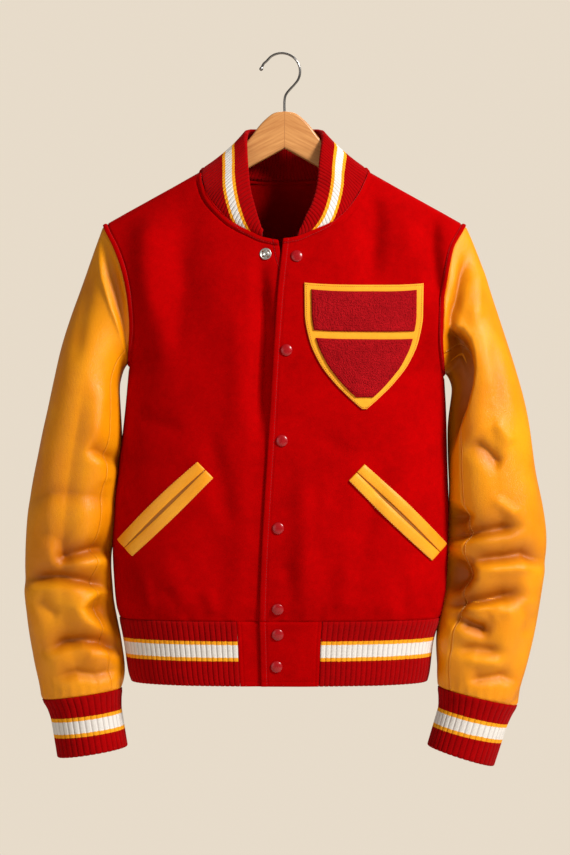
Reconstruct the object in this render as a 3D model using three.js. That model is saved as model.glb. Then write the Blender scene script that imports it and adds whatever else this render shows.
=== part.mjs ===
// Varsity jacket on a wooden hanger: wool body, leather sleeves, ribbed knit collar, cuffs and hem.
// Millimetres, +Z up, +X to the viewer's right, the jacket's front faces -Y.
// The origin is inside the top of the hanger's hook.
import * as THREE from 'three';

// Driving dimensions
const WOOL = 2.2;                 // wall of the wool panels
const LEATHER = 1.8;              // wall of the sleeves
const KNIT = 2.6;                 // plain wall of the rib knit
const RIB = 1.3;                  // height of a rib over the plain wall
const SEAM_RIB = 0.5;             // and at a seam
const INNER_STEP = 4;             // outer columns for each column of a rib knit's plain inner face
const SEAM_INSET = 0.2;           // each piece stops this short of its seam line
const UNDERARM_EASE = 0.7;        // and the under sleeve some more at the underarm
const SEAT = 0.3;                 // gap between a piece and what it lies on
const NECK_HALF = 105;            // neck point from the middle
const NECK_Z = -147;
const SHOULDER_HALF = 230;        // half the shoulder width
const SHOULDER_SLOPE = 0.567;
const HEM_SEAM_Z = -714;
const HEM_Z = -795;
const RIDGE = 9;                  // round of the cloth over the hanger's arm
const FALL = {
  front: { depth: 80, reach: 110 },
  back: { depth: 60, reach: 60 },
};
const ROUNDNESS = 2.5;            // superellipse power of the body's sides
const ARM_STEPS = 9;              // steps from the underarm to the shoulder tip
const SIDE_STEPS = 8;             // steps of a side seam
const SHOULDER_STEPS = 7;
const SIDE_SHARE = 0.62;          // share of a panel's height below the underarm
const CAP_STATIONS = 5;           // stations over which the armhole's shape turns into a round sleeve
const SLEEVE_ROWS = 18;
const UNDER_COLUMNS = 2;          // half the under sleeve's columns
const COLLAR_RIBS = 108;
const COLLAR_ROWS = 3;
const COLLAR_BULGE = 7;
const COLLAR_LEAN = 0.55;         // how far up the bulge leans
const COLLAR_FULL_WIDTH = 60;     // narrower stretches of the collar bulge less
const HEM_RIBS = 122;
const RIB_START = -59.6;          // where the hem's ribs begin on the lower front
const RIB_END = 46.8;             // and end on the upper front
const TAB_GAP = 0.35;
const TAB_COLUMNS = 5;
const CUFF_RIBS = 36;
const OVERLAP_DROP = 3.1;         // the lower front runs this far under the upper one
const CAP_RADIUS = 7.4;           // snap cap
const CAP_HEIGHT = 3.2;
const WIRE_RADIUS = 1.5;          // hook wire
const HOOK_RADIUS = 21.7;         // inside of the hook's bend
const HOOK_CENTRE_X = -3.5;
const ARM_THICKNESS = 12;         // wood of the hanger
const WOOD_BEVEL = 2.4;
const HEAD_TOP = -72.5;
const ARM_HALF_SPAN = 217;

// Body half-widths by height, for the viewer's left and right
const BODY_WIDTHS = [
  { z: -795, left: 193, right: 180 },
  { z: -783, left: 197, right: 183 },
  { z: -746, left: 202.5, right: 187.5 },
  { z: -714, left: 209, right: 197 },
  { z: -700, left: 213, right: 201 },
  { z: -676, left: 215.5, right: 205 },
  { z: -623, left: 218, right: 207.5 },
  { z: -570, left: 216.5, right: 208 },
  { z: -515, left: 209.5, right: 206.5 },
  { z: -455, left: 202.5, right: 205 },
  { z: -400, left: 197.5, right: 202 },
];
// How much of its depth the body keeps near the hem, where the knit draws it in
const BODY_GATHER = [
  { z: -795, keep: 0.84 },
  { z: -745, keep: 0.88 },
  { z: -714, keep: 0.92 },
  { z: -690, keep: 0.98 },
  { z: -620, keep: 1 },
];
// Armhole seams seen from the front
const ARMHOLE = {
  left: [
    { z: -392, x: 197 },
    { z: -346, x: 193.5 },
    { z: -317, x: 195.5 },
    { z: -285, x: 201.5 },
    { z: -250, x: 214 },
    { z: -226, x: 226.5 },
    { z: -217.9, x: 230 },
  ],
  right: [
    { z: -404, x: 201.5 },
    { z: -361, x: 197.5 },
    { z: -317, x: 199 },
    { z: -282, x: 205 },
    { z: -250, x: 212 },
    { z: -226, x: 225.5 },
    { z: -217.9, x: 230 },
  ],
};
// Front edges: the right-hand one of the picture lies on top
const FRONT_EDGE = {
  left: [
    { z: -795, x: 6 },
    { z: -714, x: 8 },
    { z: -500, x: 14 },
    { z: -378, x: 18 },
    { z: -300, x: 8 },
    { z: -262, x: -4 },
    { z: -241, x: -7.5 },
  ],
  right: [
    { z: -795, x: -32 },
    { z: -711, x: -31.4 },
    { z: -637, x: -29 },
    { z: -489, x: -20.5 },
    { z: -315, x: -9.7 },
    { z: -239, x: -2 },
  ],
};
// Neck seam and free edge of the collar, from its front end to the back's middle
const COLLAR = {
  left: [
    { seamX: -7.5, seamZ: -241, edgeX: -9, edgeY: -63, edgeZ: -240 },
    { seamX: -28, seamZ: -236.5, edgeX: -27, edgeY: -63, edgeZ: -230 },
    { seamX: -40, seamZ: -231, edgeX: -33, edgeY: -61, edgeZ: -217 },
    { seamX: -59, seamZ: -221.5, edgeX: -39, edgeY: -55, edgeZ: -197 },
    { seamX: -76, seamZ: -209, edgeX: -44.5, edgeY: -44, edgeZ: -174 },
    { seamX: -98, seamZ: -182, edgeX: -48.5, edgeY: -27, edgeZ: -137 },
    { seamX: -NECK_HALF, seamZ: NECK_Z, edgeX: -50.5, edgeY: -6, edgeZ: -103.5 },
    { seamX: -90, seamZ: -149, edgeX: -47, edgeY: 17, edgeZ: -95 },
    { seamX: -58, seamZ: -154, edgeX: -32, edgeY: 33, edgeZ: -93.5 },
    { seamX: 0, seamZ: -158, edgeX: 0, edgeY: 41, edgeZ: -92.5 },
  ],
  right: [
    { seamX: -2, seamZ: -239, edgeX: 1, edgeY: -63, edgeZ: -238 },
    { seamX: 16, seamZ: -236, edgeX: 18, edgeY: -63, edgeZ: -229 },
    { seamX: 35.5, seamZ: -228, edgeX: 28, edgeY: -61, edgeZ: -211 },
    { seamX: 55, seamZ: -219.5, edgeX: 36, edgeY: -55, edgeZ: -194 },
    { seamX: 72, seamZ: -209, edgeX: 42, edgeY: -44, edgeZ: -172 },
    { seamX: 92, seamZ: -181, edgeX: 46, edgeY: -27, edgeZ: -137 },
    { seamX: NECK_HALF, seamZ: NECK_Z, edgeX: 50.5, edgeY: -6, edgeZ: -103.5 },
    { seamX: 90, seamZ: -149, edgeX: 46, edgeY: 17, edgeZ: -95 },
    { seamX: 58, seamZ: -154, edgeX: 32, edgeY: 33, edgeZ: -93.5 },
    { seamX: 0, seamZ: -158, edgeX: 0, edgeY: 41, edgeZ: -92.5 },
  ],
};
const NECK_POINT_STATION = 6;
// Sleeve stations from the shoulder to the cuff: silhouette points and half-depths
const SLEEVE = {
  left: [
    { outX: -230, outZ: -217.9, inX: -197, inZ: -392, front: 52, back: 48 },
    { outX: -243, outZ: -254, inX: -200, inZ: -394.5, front: 54, back: 50 },
    { outX: -257.5, outZ: -295, inX: -202.5, inZ: -398, front: 56, back: 52 },
    { outX: -270.5, outZ: -332, inX: -205, inZ: -404, front: 58, back: 54 },
    { outX: -282.5, outZ: -372, inX: -208, inZ: -416, front: 59, back: 55 },
    { outX: -291.5, outZ: -412, inX: -211.5, inZ: -438, front: 59, back: 55 },
    { outX: -300, outZ: -452, inX: -215.5, inZ: -470, front: 58, back: 55 },
    { outX: -309, outZ: -492, inX: -219, inZ: -505, front: 57, back: 55 },
    { outX: -319, outZ: -545, inX: -224.5, inZ: -552, front: 56, back: 54 },
    { outX: -325, outZ: -592, inX: -227, inZ: -592, front: 56, back: 53 },
    { outX: -328, outZ: -634, inX: -230.5, inZ: -630, front: 56, back: 52 },
    { outX: -329.5, outZ: -676, inX: -230, inZ: -667, front: 55, back: 51 },
    { outX: -326.5, outZ: -717, inX: -227, inZ: -704, front: 53, back: 49 },
    { outX: -318, outZ: -762, inX: -215, inZ: -748, front: 49, back: 46 },
    { outX: -310, outZ: -797, inX: -206.5, inZ: -783, front: 45, back: 42 },
    { outX: -306.5, outZ: -817, inX: -206, inZ: -803, front: 41, back: 38 },
  ],
  right: [
    { outX: 230, outZ: -217.9, inX: 201.5, inZ: -404, front: 52, back: 48 },
    { outX: 242, outZ: -246, inX: 204.5, inZ: -406.5, front: 54, back: 50 },
    { outX: 255.5, outZ: -284, inX: 207, inZ: -409.5, front: 56, back: 52 },
    { outX: 267.5, outZ: -321, inX: 209.5, inZ: -414.5, front: 58, back: 54 },
    { outX: 280, outZ: -360, inX: 211.5, inZ: -422, front: 59, back: 55 },
    { outX: 291.5, outZ: -397, inX: 213, inZ: -436, front: 59, back: 55 },
    { outX: 302.5, outZ: -436, inX: 213.5, inZ: -460, front: 58, back: 55 },
    { outX: 309.5, outZ: -470, inX: 214.5, inZ: -484, front: 58, back: 55 },
    { outX: 317, outZ: -520, inX: 215, inZ: -526, front: 57, back: 54 },
    { outX: 326, outZ: -572, inX: 215, inZ: -572, front: 57, back: 53 },
    { outX: 330.5, outZ: -620, inX: 214, inZ: -617, front: 56, back: 52 },
    { outX: 328, outZ: -664, inX: 211, inZ: -657, front: 55, back: 51 },
    { outX: 319.5, outZ: -718, inX: 205, inZ: -706, front: 53, back: 49 },
    { outX: 309, outZ: -764, inX: 198, inZ: -748, front: 49, back: 46 },
    { outX: 300, outZ: -803, inX: 194, inZ: -780, front: 45, back: 42 },
    { outX: 294.5, outZ: -825, inX: 194.5, inZ: -801, front: 41, back: 38 },
  ],
};
const SLEEVE_MIDDLE_Y = -8;       // the sleeves hang a little forward of the shoulder line
// Cuffs below the sleeve's end
const CUFF = {
  left: [
    { outX: -299, outZ: -829, inX: -207.5, inZ: -815, front: 38, back: 36 },
    { outX: -294.5, outZ: -842, inX: -207.5, inZ: -829, front: 36, back: 34 },
    { outX: -286.5, outZ: -891, inX: -199.5, inZ: -877, front: 35, back: 33 },
  ],
  right: [
    { outX: 287, outZ: -837, inX: 196, inZ: -813, front: 38, back: 36 },
    { outX: 281, outZ: -850, inX: 196, inZ: -827, front: 36, back: 34 },
    { outX: 264, outZ: -902, inX: 181.5, inZ: -876, front: 35, back: 33 },
  ],
};
// Large soft folds of the body: a ridge or trough along a line in the front view
const BODY_FOLDS = {
  front: [
    { x0: -160, z0: -200, x1: -150, z1: -420, width: 22, height: 5 },
    { x0: -120, z0: -215, x1: -105, z1: -380, width: 20, height: -4 },
    { x0: 112, z0: -200, x1: 114, z1: -285, width: 18, height: -3 },
    { x0: 192, z0: -300, x1: 190, z1: -480, width: 18, height: 4 },
    { x0: -150, z0: -640, x1: -130, z1: -712, width: 20, height: 5 },
    { x0: -95, z0: -590, x1: -70, z1: -700, width: 24, height: -4 },
    { x0: 30, z0: -600, x1: 20, z1: -705, width: 20, height: 4 },
    { x0: 120, z0: -650, x1: 135, z1: -712, width: 20, height: 4 },
    { x0: -200, z0: -470, x1: -130, z1: -430, width: 18, height: 4 },
  ],
  back: [
    { x0: -110, z0: -200, x1: -140, z1: -470, width: 26, height: 6 },
    { x0: 105, z0: -200, x1: 130, z1: -440, width: 26, height: 6 },
    { x0: -30, z0: -230, x1: -45, z1: -520, width: 30, height: -5 },
    { x0: 45, z0: -250, x1: 30, z1: -560, width: 30, height: -5 },
    { x0: -110, z0: -600, x1: -95, z1: -712, width: 24, height: 5 },
    { x0: 10, z0: -610, x1: 0, z1: -712, width: 26, height: 5 },
    { x0: 115, z0: -620, x1: 105, z1: -712, width: 22, height: 5 },
  ],
};
// Large folds of the sleeves: station along the sleeve, degrees from the inner edge (the front is
// positive), slant in stations over the fold's span, half-length in degrees, width in stations
const SLEEVE_FOLDS = {
  left: [
    { at: 3.2, turn: 62, slant: 1.2, span: 40, width: 0.7, height: -6 },
    { at: 8.5, turn: 70, slant: 0.3, span: 60, width: 0.34, height: -5 },
    { at: 9.5, turn: 90, slant: -0.5, span: 75, width: 0.34, height: -6 },
    { at: 10.5, turn: 60, slant: 0.7, span: 55, width: 0.4, height: 4 },
    { at: 12.3, turn: 90, slant: -0.3, span: 70, width: 0.35, height: -5 },
    { at: 13.4, turn: 70, slant: 0.3, span: 60, width: 0.3, height: 4 },
    { at: 9, turn: -80, slant: 0.4, span: 60, width: 0.4, height: -5 },
    { at: 11.5, turn: -100, slant: -0.5, span: 65, width: 0.4, height: -5 },
    { at: 6, turn: -60, slant: 0.8, span: 45, width: 0.5, height: -4 },
  ],
  right: [
    { at: 3.4, turn: 50, slant: 1.4, span: 32, width: 0.9, height: -12 },
    { at: 5.4, turn: 50, slant: 0.5, span: 36, width: 0.8, height: 5 },
    { at: 8.4, turn: 55, slant: 0.4, span: 55, width: 0.34, height: -6 },
    { at: 10, turn: 80, slant: -0.5, span: 75, width: 0.36, height: -6 },
    { at: 11, turn: 70, slant: 0.6, span: 60, width: 0.36, height: 5 },
    { at: 12.4, turn: 85, slant: 0.4, span: 70, width: 0.34, height: -6 },
    { at: 13.4, turn: 80, slant: -0.2, span: 60, width: 0.3, height: 4 },
    { at: 8.6, turn: -85, slant: -0.4, span: 60, width: 0.4, height: -5 },
    { at: 11.2, turn: -95, slant: 0.5, span: 65, width: 0.4, height: -5 },
    { at: 5.5, turn: -60, slant: 0.8, span: 45, width: 0.5, height: -4 },
  ],
};
// Snap caps down the upper front, and the open stud on the lower one
const SNAPS = [
  { x: 15.3, z: -260.8 },
  { x: 2.5, z: -378 },
  { x: -3.1, z: -490 },
  { x: -7.8, z: -598 },
  { x: -8.4, z: -698 },
  { x: -8.4, z: -730 },
  { x: -9.9, z: -770 },
];
const STUD = { x: -23.6, z: -258 };
// Slanted pockets: the middle line of the slit, from the side to the middle
const POCKETS = {
  left: { x0: -199, z0: -624, x1: -98, z1: -526, width: 15 },
  right: { x0: 193, z0: -629.5, x1: 89, z1: -529, width: 15 },
};
const WELT = 2.4;                 // thickness of a welt
const WELT_SEAT = 0.8;            // gap under it, over the panel's bends
const WELT_EDGE = 0.9;            // how much thinner its rounded edges are
const SLIT = 2.6;                 // gap between the two welts
// Shield patch on the chest
const PATCH = { x: 98.5, z: -372, top: 75, bottom: 79, felt: 1.8, pile: 3.2, border: 8.4 };
const PATCH_SEAT = 0.6;           // gap under the felt, over the panel's bends
const SNAP_SEAT = 0.45;           // gap under a snap cap
// Outline of one half of the hanger's head and arm top, from the middle outwards
const HANGER_TOP = [
  { x: 0, z: HEAD_TOP },
  { x: 13, z: -74.5 },
  { x: 24, z: -82.5 },
  { x: 33, z: -92 },
  { x: 42, z: -104 },
  { x: 54, z: -117 },
  { x: 72, z: -135 },
];
const COLLAR_DIP = 5.2;           // the arm runs lower under the collar's seam
const ARM_CLEARANCE = 4.8;        // below the shoulder line: the wool wall and a small gap
const UNDERSIDE_APEX = -119.5;
const UNDERSIDE_SLOPE = 0.553;
const TIP_ROUND = 12;

const MATERIALS = {
  wool: { color: 0xb3060c, roughness: 0.95, metalness: 0 },
  leather: { color: 0xf2a11c, roughness: 0.45, metalness: 0 },
  knit: { color: 0xa90810, roughness: 0.9, metalness: 0 },
  tab: { color: 0xb3060c, roughness: 0.95, metalness: 0 },
  welt: { color: 0xf7b733, roughness: 0.45, metalness: 0 },
  cap: { color: 0xb81a22, roughness: 0.25, metalness: 0 },
  stud: { color: 0xc9c6c2, roughness: 0.3, metalness: 1 },
  felt: { color: 0xf0a526, roughness: 0.95, metalness: 0 },
  pile: { color: 0xb01016, roughness: 1, metalness: 0 },
  wood: { color: 0xdca25e, roughness: 0.5, metalness: 0 },
  hook: { color: 0x8c8a88, roughness: 0.25, metalness: 1 },
};

const jacket = new THREE.Group();

function addPiece(name, geometry, finish) {
  const mesh = new THREE.Mesh(geometry, new THREE.MeshStandardMaterial(MATERIALS[finish]));
  mesh.name = name;
  jacket.add(mesh);
  return mesh;
}

// Smooth value of one column of a table whose rows are in rising order of the key column
function smooth(rows, key, at, column) {
  const first = rows[0];
  const last = rows[rows.length - 1];
  if (at <= first[key]) return first[column];
  if (at >= last[key]) return last[column];
  let i = 0;
  while (rows[i + 1][key] < at) i += 1;
  return hermite(rows, i, (n) => rows[n][key], (n) => rows[n][column], at);
}

// Cubic between rows i and i + 1 with slopes from the neighbours, kept from overshooting
function hermite(rows, i, keyOf, valueOf, at) {
  const step = keyOf(i + 1) - keyOf(i);
  const rise = (n) => (valueOf(n + 1) - valueOf(n)) / (keyOf(n + 1) - keyOf(n));
  const slope = (n) => {
    if (n === 0) return rise(0);
    if (n === rows.length - 1) return rise(n - 1);
    const a = rise(n - 1);
    const b = rise(n);
    return a * b <= 0 ? 0 : (2 * a * b) / (a + b);
  };
  const t = (at - keyOf(i)) / step;
  const t2 = t * t;
  const t3 = t2 * t;
  return (2 * t3 - 3 * t2 + 1) * valueOf(i) + (t3 - 2 * t2 + t) * step * slope(i)
    + (3 * t2 - 2 * t3) * valueOf(i + 1) + (t3 - t2) * step * slope(i + 1);
}

// Catmull-Rom value of one column by row number
function byStation(rows, at, column) {
  const last = rows.length - 1;
  const clamped = Math.min(Math.max(at, 0), last);
  const i = Math.min(Math.floor(clamped), last - 1);
  const t = clamped - i;
  const value = (n) => rows[Math.min(Math.max(n, 0), last)][column];
  const [a, b, c, d] = [value(i - 1), value(i), value(i + 1), value(i + 2)];
  return b + 0.5 * t * (c - a + t * (2 * a - 5 * b + 4 * c - d + t * (3 * (b - c) + d - a)));
}

const lerp = (a, b, t) => a + (b - a) * t;
const ease = (t) => t * t * (3 - 2 * t);
const clamp01 = (t) => Math.min(Math.max(t, 0), 1);
const sideOf = (x) => (x < 0 ? 'left' : 'right');

// Height of the shoulder line above x, carried on flatter across the neck
function shoulderLine(x) {
  const out = Math.abs(x);
  if (out >= NECK_HALF) return NECK_Z - SHOULDER_SLOPE * (out - NECK_HALF);
  return NECK_Z + (SHOULDER_SLOPE * (NECK_HALF * NECK_HALF - out * out)) / (2 * NECK_HALF);
}

// Half-width of the body; above the underarm it opens out into the sleeve
function sideReach(side, z) {
  const underarm = ARMHOLE[side][0].z;
  const width = smooth(BODY_WIDTHS, 'z', Math.min(z, underarm), side);
  const above = Math.max(z - underarm, 0);
  return width + 0.35 * above + 0.012 * above * above;
}

function foldHeight(folds, x, z) {
  let total = 0;
  for (const fold of folds) {
    const dx = fold.x1 - fold.x0;
    const dz = fold.z1 - fold.z0;
    const along = ((x - fold.x0) * dx + (z - fold.z0) * dz) / (dx * dx + dz * dz);
    const across = ((x - fold.x0) * dz - (z - fold.z0) * dx) / Math.hypot(dx, dz);
    const ends = Math.exp(-Math.pow(Math.abs(along - 0.5) / 0.55, 4));
    total += fold.height * ends * Math.exp(-Math.pow(across / fold.width, 2));
  }
  return total;
}

// Distance of the body's outer face from the middle plane, at a place seen from the front
function bodyDepth(face, x, z) {
  const below = Math.max(shoulderLine(x) - z, 0);
  const round = 1 - Math.min(below / RIDGE, 1);
  const fall = FALL[face];
  const ridge = RIDGE * Math.sqrt(1 - round * round);
  const full = ridge + fall.depth * (1 - Math.exp(-below / fall.reach));
  const inward = clamp01(Math.abs(x) / sideReach(sideOf(x), z));
  const side = Math.pow(1 - Math.pow(inward, ROUNDNESS), 1 / ROUNDNESS);
  const folds = foldHeight(BODY_FOLDS[face], x, z) * clamp01(below / 40) * Math.min(1, 2 * side);
  return (full * smooth(BODY_GATHER, 'z', z, 'keep') + folds) * side;
}

// The lower front drops behind the upper one where they overlap
function lowerFrontDrop(x, z) {
  const edge = smooth(FRONT_EDGE.right, 'z', z, 'x');
  const open = clamp01((-244 - z) / 20);
  return OVERLAP_DROP * lerp(0.35, 1, open) * ease(clamp01((x - edge + 30) / 26));
}

function bodyPoint(face, x, z, drop = 0) {
  const depth = bodyDepth(face, x, z) - drop;
  return new THREE.Vector3(x, face === 'front' ? -depth : depth, z);
}

// Armhole seam: places seen from the front, from the underarm to the shoulder tip
const CAP_TURNS = Array.from(
  { length: ARM_STEPS + 1 },
  (_, j) => (1 - Math.cos((Math.PI * j) / ARM_STEPS)) / 2,
);

function armholePlaces(side) {
  const rows = ARMHOLE[side];
  const bottom = rows[0].z;
  const top = shoulderLine(SHOULDER_HALF);
  const sign = side === 'left' ? -1 : 1;
  return CAP_TURNS.map((rise, j) => {
    const z = lerp(bottom, top, rise);
    return [sign * (j === 0 ? sideReach(side, z) : smooth(rows, 'z', z, 'x')), z];
  });
}

// Side of a panel from the hem seam up to the shoulder tip
function sidePlaces(side) {
  const sign = side === 'left' ? -1 : 1;
  const underarm = ARMHOLE[side][0];
  const places = [];
  for (let i = 0; i < SIDE_STEPS; i += 1) {
    const z = lerp(HEM_SEAM_Z, underarm.z, i / SIDE_STEPS);
    places.push([sign * sideReach(side, z), z]);
  }
  return places.concat(armholePlaces(side));
}

function neckPlace(side, station) {
  return [byStation(COLLAR[side], station, 'seamX'), byStation(COLLAR[side], station, 'seamZ')];
}

function shoulderPlaces(side) {
  const sign = side === 'left' ? -1 : 1;
  const places = [];
  for (let i = 1; i <= SHOULDER_STEPS; i += 1) {
    const x = lerp(NECK_HALF, SHOULDER_HALF, i / SHOULDER_STEPS);
    places.push([sign * x, shoulderLine(x)]);
  }
  return places;
}

const FRONT_NECK_STATIONS = [0, 1, 2, 3, 4, 5, 6];
const BACK_NECK_STATIONS = [6, 6.75, 7.5, 8.25, 9];

// Height of a row between the hem seam and the shoulder line, closer together near the shoulder
function riseOfRow(r) {
  if (r <= SIDE_STEPS) return (SIDE_SHARE * r) / SIDE_STEPS;
  return lerp(SIDE_SHARE, 1, CAP_TURNS[r - SIDE_STEPS]);
}

// Fill between four edges, each a list of places in the front view
function fillPlaces(bottom, top, start, end) {
  const columns = bottom.length - 1;
  const rows = start.length - 1;
  const grid = [];
  for (let r = 0; r <= rows; r += 1) {
    const v = riseOfRow(r);
    grid.push([]);
    for (let c = 0; c <= columns; c += 1) {
      const u = c / columns;
      grid[r].push([0, 1].map((k) => {
        const across = lerp(start[r][k], end[r][k], u);
        const up = lerp(bottom[c][k], top[c][k], v);
        const low = lerp(bottom[0][k], bottom[columns][k], u);
        const high = lerp(top[0][k], top[columns][k], u);
        return across + up - lerp(low, high, v);
      }));
    }
  }
  return grid;
}

function frontPlaces(side) {
  const neck = FRONT_NECK_STATIONS.map((station) => neckPlace(side, station));
  const top = neck.concat(shoulderPlaces(side));
  const end = sidePlaces(side);
  const columns = top.length - 1;
  const rows = end.length - 1;
  const edge = FRONT_EDGE[side];
  const start = end.map((_, r) => {
    const z = lerp(HEM_SEAM_Z, top[0][1], riseOfRow(r));
    return [r === rows ? top[0][0] : smooth(edge, 'z', z, 'x'), z];
  });
  const bottom = top.map((_, c) => {
    const turn = c / columns;
    const spread = Math.sin((turn * Math.PI) / 2);
    return [lerp(start[0][0], end[0][0], c === columns ? 1 : spread), HEM_SEAM_Z];
  });
  return fillPlaces(bottom, top, start, end);
}

function backPlaces() {
  const halfNeck = BACK_NECK_STATIONS.length - 1;
  const left = sidePlaces('left');
  const right = sidePlaces('right');
  const neckLeft = BACK_NECK_STATIONS.map((station) => neckPlace('left', station));
  const returning = BACK_NECK_STATIONS.slice(0, -1).reverse();
  const neckRight = returning.map((station) => neckPlace('right', station));
  const top = shoulderPlaces('left').reverse().concat(neckLeft, neckRight, shoulderPlaces('right'));
  const half = SHOULDER_STEPS + halfNeck;
  const bottom = top.map((_, c) => {
    const turn = (c - half) / half;
    const end = turn < 0 ? -left[0][0] : right[0][0];
    return [end * Math.sin((turn * Math.PI) / 2), HEM_SEAM_Z];
  });
  return fillPlaces(bottom, top, left, right);
}

// Grids of points on the outer faces
const panels = {
  frontLeft: frontPlaces('left').map((row) => row.map(
    ([x, z]) => bodyPoint('front', x, z, lowerFrontDrop(x, z)),
  )),
  frontRight: frontPlaces('right').map((row) => row.map(([x, z]) => bodyPoint('front', x, z))),
  back: backPlaces().map((row) => row.map(([x, z]) => bodyPoint('back', x, z))),
};
for (const grid of Object.values(panels)) {
  for (const row of grid) for (const point of row) if (Math.abs(point.y) < 1e-4) point.y = 0;
}

// Armhole loop of a sleeve: underarm, up the front, shoulder tip, down the back
function armholeLoop(side) {
  const front = side === 'left' ? panels.frontLeft : panels.frontRight;
  const last = front[0].length - 1;
  const backColumn = side === 'left' ? 0 : panels.back[0].length - 1;
  const loop = [];
  for (let j = 0; j <= ARM_STEPS; j += 1) loop.push(front[SIDE_STEPS + j][last].clone());
  for (let j = ARM_STEPS - 1; j > 0; j -= 1) loop.push(panels.back[SIDE_STEPS + j][backColumn].clone());
  return loop;
}

function sleeveFold(side, station, turn) {
  let total = 0;
  const degrees = (turn * 180) / Math.PI;
  for (const fold of SLEEVE_FOLDS[side]) {
    let off = degrees - fold.turn;
    if (off > 180) off -= 360;
    if (off < -180) off += 360;
    const across = (station - fold.at - (fold.slant * off) / fold.span) / fold.width;
    const ends = Math.exp(-Math.pow(off / fold.span, 4));
    total += fold.height * ends * Math.exp(-across * across);
  }
  return total;
}

// A ring between an inner and an outer silhouette point, round towards the front and the back
function ringPoint(place, turn, offset = 0) {
  const across = (1 - Math.cos(turn)) / 2 - (offset * Math.cos(turn)) / place.length;
  const depth = turn <= Math.PI ? place.front : place.back;
  const x = lerp(place.inX, place.outX, across);
  const z = lerp(place.inZ, place.outZ, across);
  return new THREE.Vector3(x, place.middle - (depth + offset) * Math.sin(turn), z);
}

function sleevePlace(side, station) {
  const place = {};
  for (const column of ['outX', 'outZ', 'inX', 'inZ', 'front', 'back']) {
    place[column] = byStation(SLEEVE[side], station, column);
  }
  place.length = Math.hypot(place.outX - place.inX, place.outZ - place.inZ);
  place.middle = SLEEVE_MIDDLE_Y * ease(clamp01((station - 1) / CAP_STATIONS));
  return place;
}

function sleeveRings(side) {
  const loop = armholeLoop(side);
  const count = loop.length;
  const first = sleevePlace(side, 0);
  const axis = [(first.outX - first.inX) / first.length, (first.outZ - first.inZ) / first.length];
  const rings = [loop];
  const stations = SLEEVE[side].length - 1;
  for (let r = 1; r <= SLEEVE_ROWS; r += 1) {
    const station = (stations * r) / SLEEVE_ROWS;
    const place = sleevePlace(side, station);
    const rounding = ease(clamp01(station / CAP_STATIONS));
    const calm = clamp01(station / 2) * clamp01((stations - station) / 0.8);
    rings.push(loop.map((start, j) => {
      const turn = (2 * Math.PI * j) / count;
      const round = ringPoint(place, turn, sleeveFold(side, station, turn) * calm);
      const dx = start.x - first.inX;
      const dz = start.z - first.inZ;
      const across = (dx * axis[0] + dz * axis[1]) / first.length;
      const bow = (dx * axis[1] - dz * axis[0]) / first.length;
      const ux = place.outX - place.inX;
      const uz = place.outZ - place.inZ;
      const cut = new THREE.Vector3(
        place.inX + across * ux + bow * uz,
        start.y + place.middle,
        place.inZ + across * uz - bow * ux,
      );
      return cut.lerp(round, rounding);
    }));
  }
  return rings;
}

// The columns of a ring that one sleeve piece takes, in order round the arm
function takeColumns(rings, from, to) {
  const count = rings[0].length;
  return rings.map((ring) => {
    const row = [];
    for (let j = from; j <= to; j += 1) row.push(ring[((j % count) + count) % count].clone());
    return row;
  });
}

const sleeves = { left: sleeveRings('left'), right: sleeveRings('right') };
const around = 2 * ARM_STEPS;
for (const side of ['left', 'right']) {
  const name = side === 'left' ? 'Left' : 'Right';
  panels[`under${name}`] = takeColumns(sleeves[side], -UNDER_COLUMNS, UNDER_COLUMNS);
  panels[`upper${name}`] = takeColumns(sleeves[side], UNDER_COLUMNS, around - UNDER_COLUMNS);
}

// Outward normals of a grid; flip turns them over
function gridNormals(grid, flip) {
  const rows = grid.length - 1;
  const columns = grid[0].length - 1;
  return grid.map((row, r) => row.map((_, c) => {
    const up = grid[Math.min(r + 1, rows)][c].clone().sub(grid[Math.max(r - 1, 0)][c]);
    const across = grid[r][Math.min(c + 1, columns)].clone().sub(grid[r][Math.max(c - 1, 0)]);
    const normal = across.cross(up).normalize();
    return flip ? normal.negate() : normal;
  }));
}

const FLIPPED = ['frontLeft', 'back', 'upperRight', 'underRight'];
const normals = {};
for (const [name, grid] of Object.entries(panels)) normals[name] = gridNormals(grid, FLIPPED.includes(name));

// Pieces that share a seam take the same normals there, so that their walls meet on one plane.
// The body's pieces count together, and so do the sleeve's, for the plane to halve the angle.
const seamKey = (point) => point.toArray().map((value) => Math.round(value * 50)).join();
const groupOf = (name) => (name.startsWith('upper') || name.startsWith('under') ? 'sleeve' : 'body');
const shared = new Map();

function eachEdgePoint(action) {
  for (const [name, grid] of Object.entries(panels)) {
    grid.forEach((row, r) => row.forEach((point, c) => {
      const edge = r === 0 || c === 0 || r === grid.length - 1 || c === row.length - 1;
      if (edge) action(name, r, c, seamKey(point));
    }));
  }
}

eachEdgePoint((name, r, c, key) => {
  if (!shared.has(key)) shared.set(key, { body: new THREE.Vector3(), sleeve: new THREE.Vector3() });
  shared.get(key)[groupOf(name)].add(normals[name][r][c]);
});
eachEdgePoint((name, r, c, key) => {
  const { body, sleeve } = shared.get(key);
  normals[name][r][c] = body.clone().normalize().add(sleeve.clone().normalize()).normalize();
});

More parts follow.
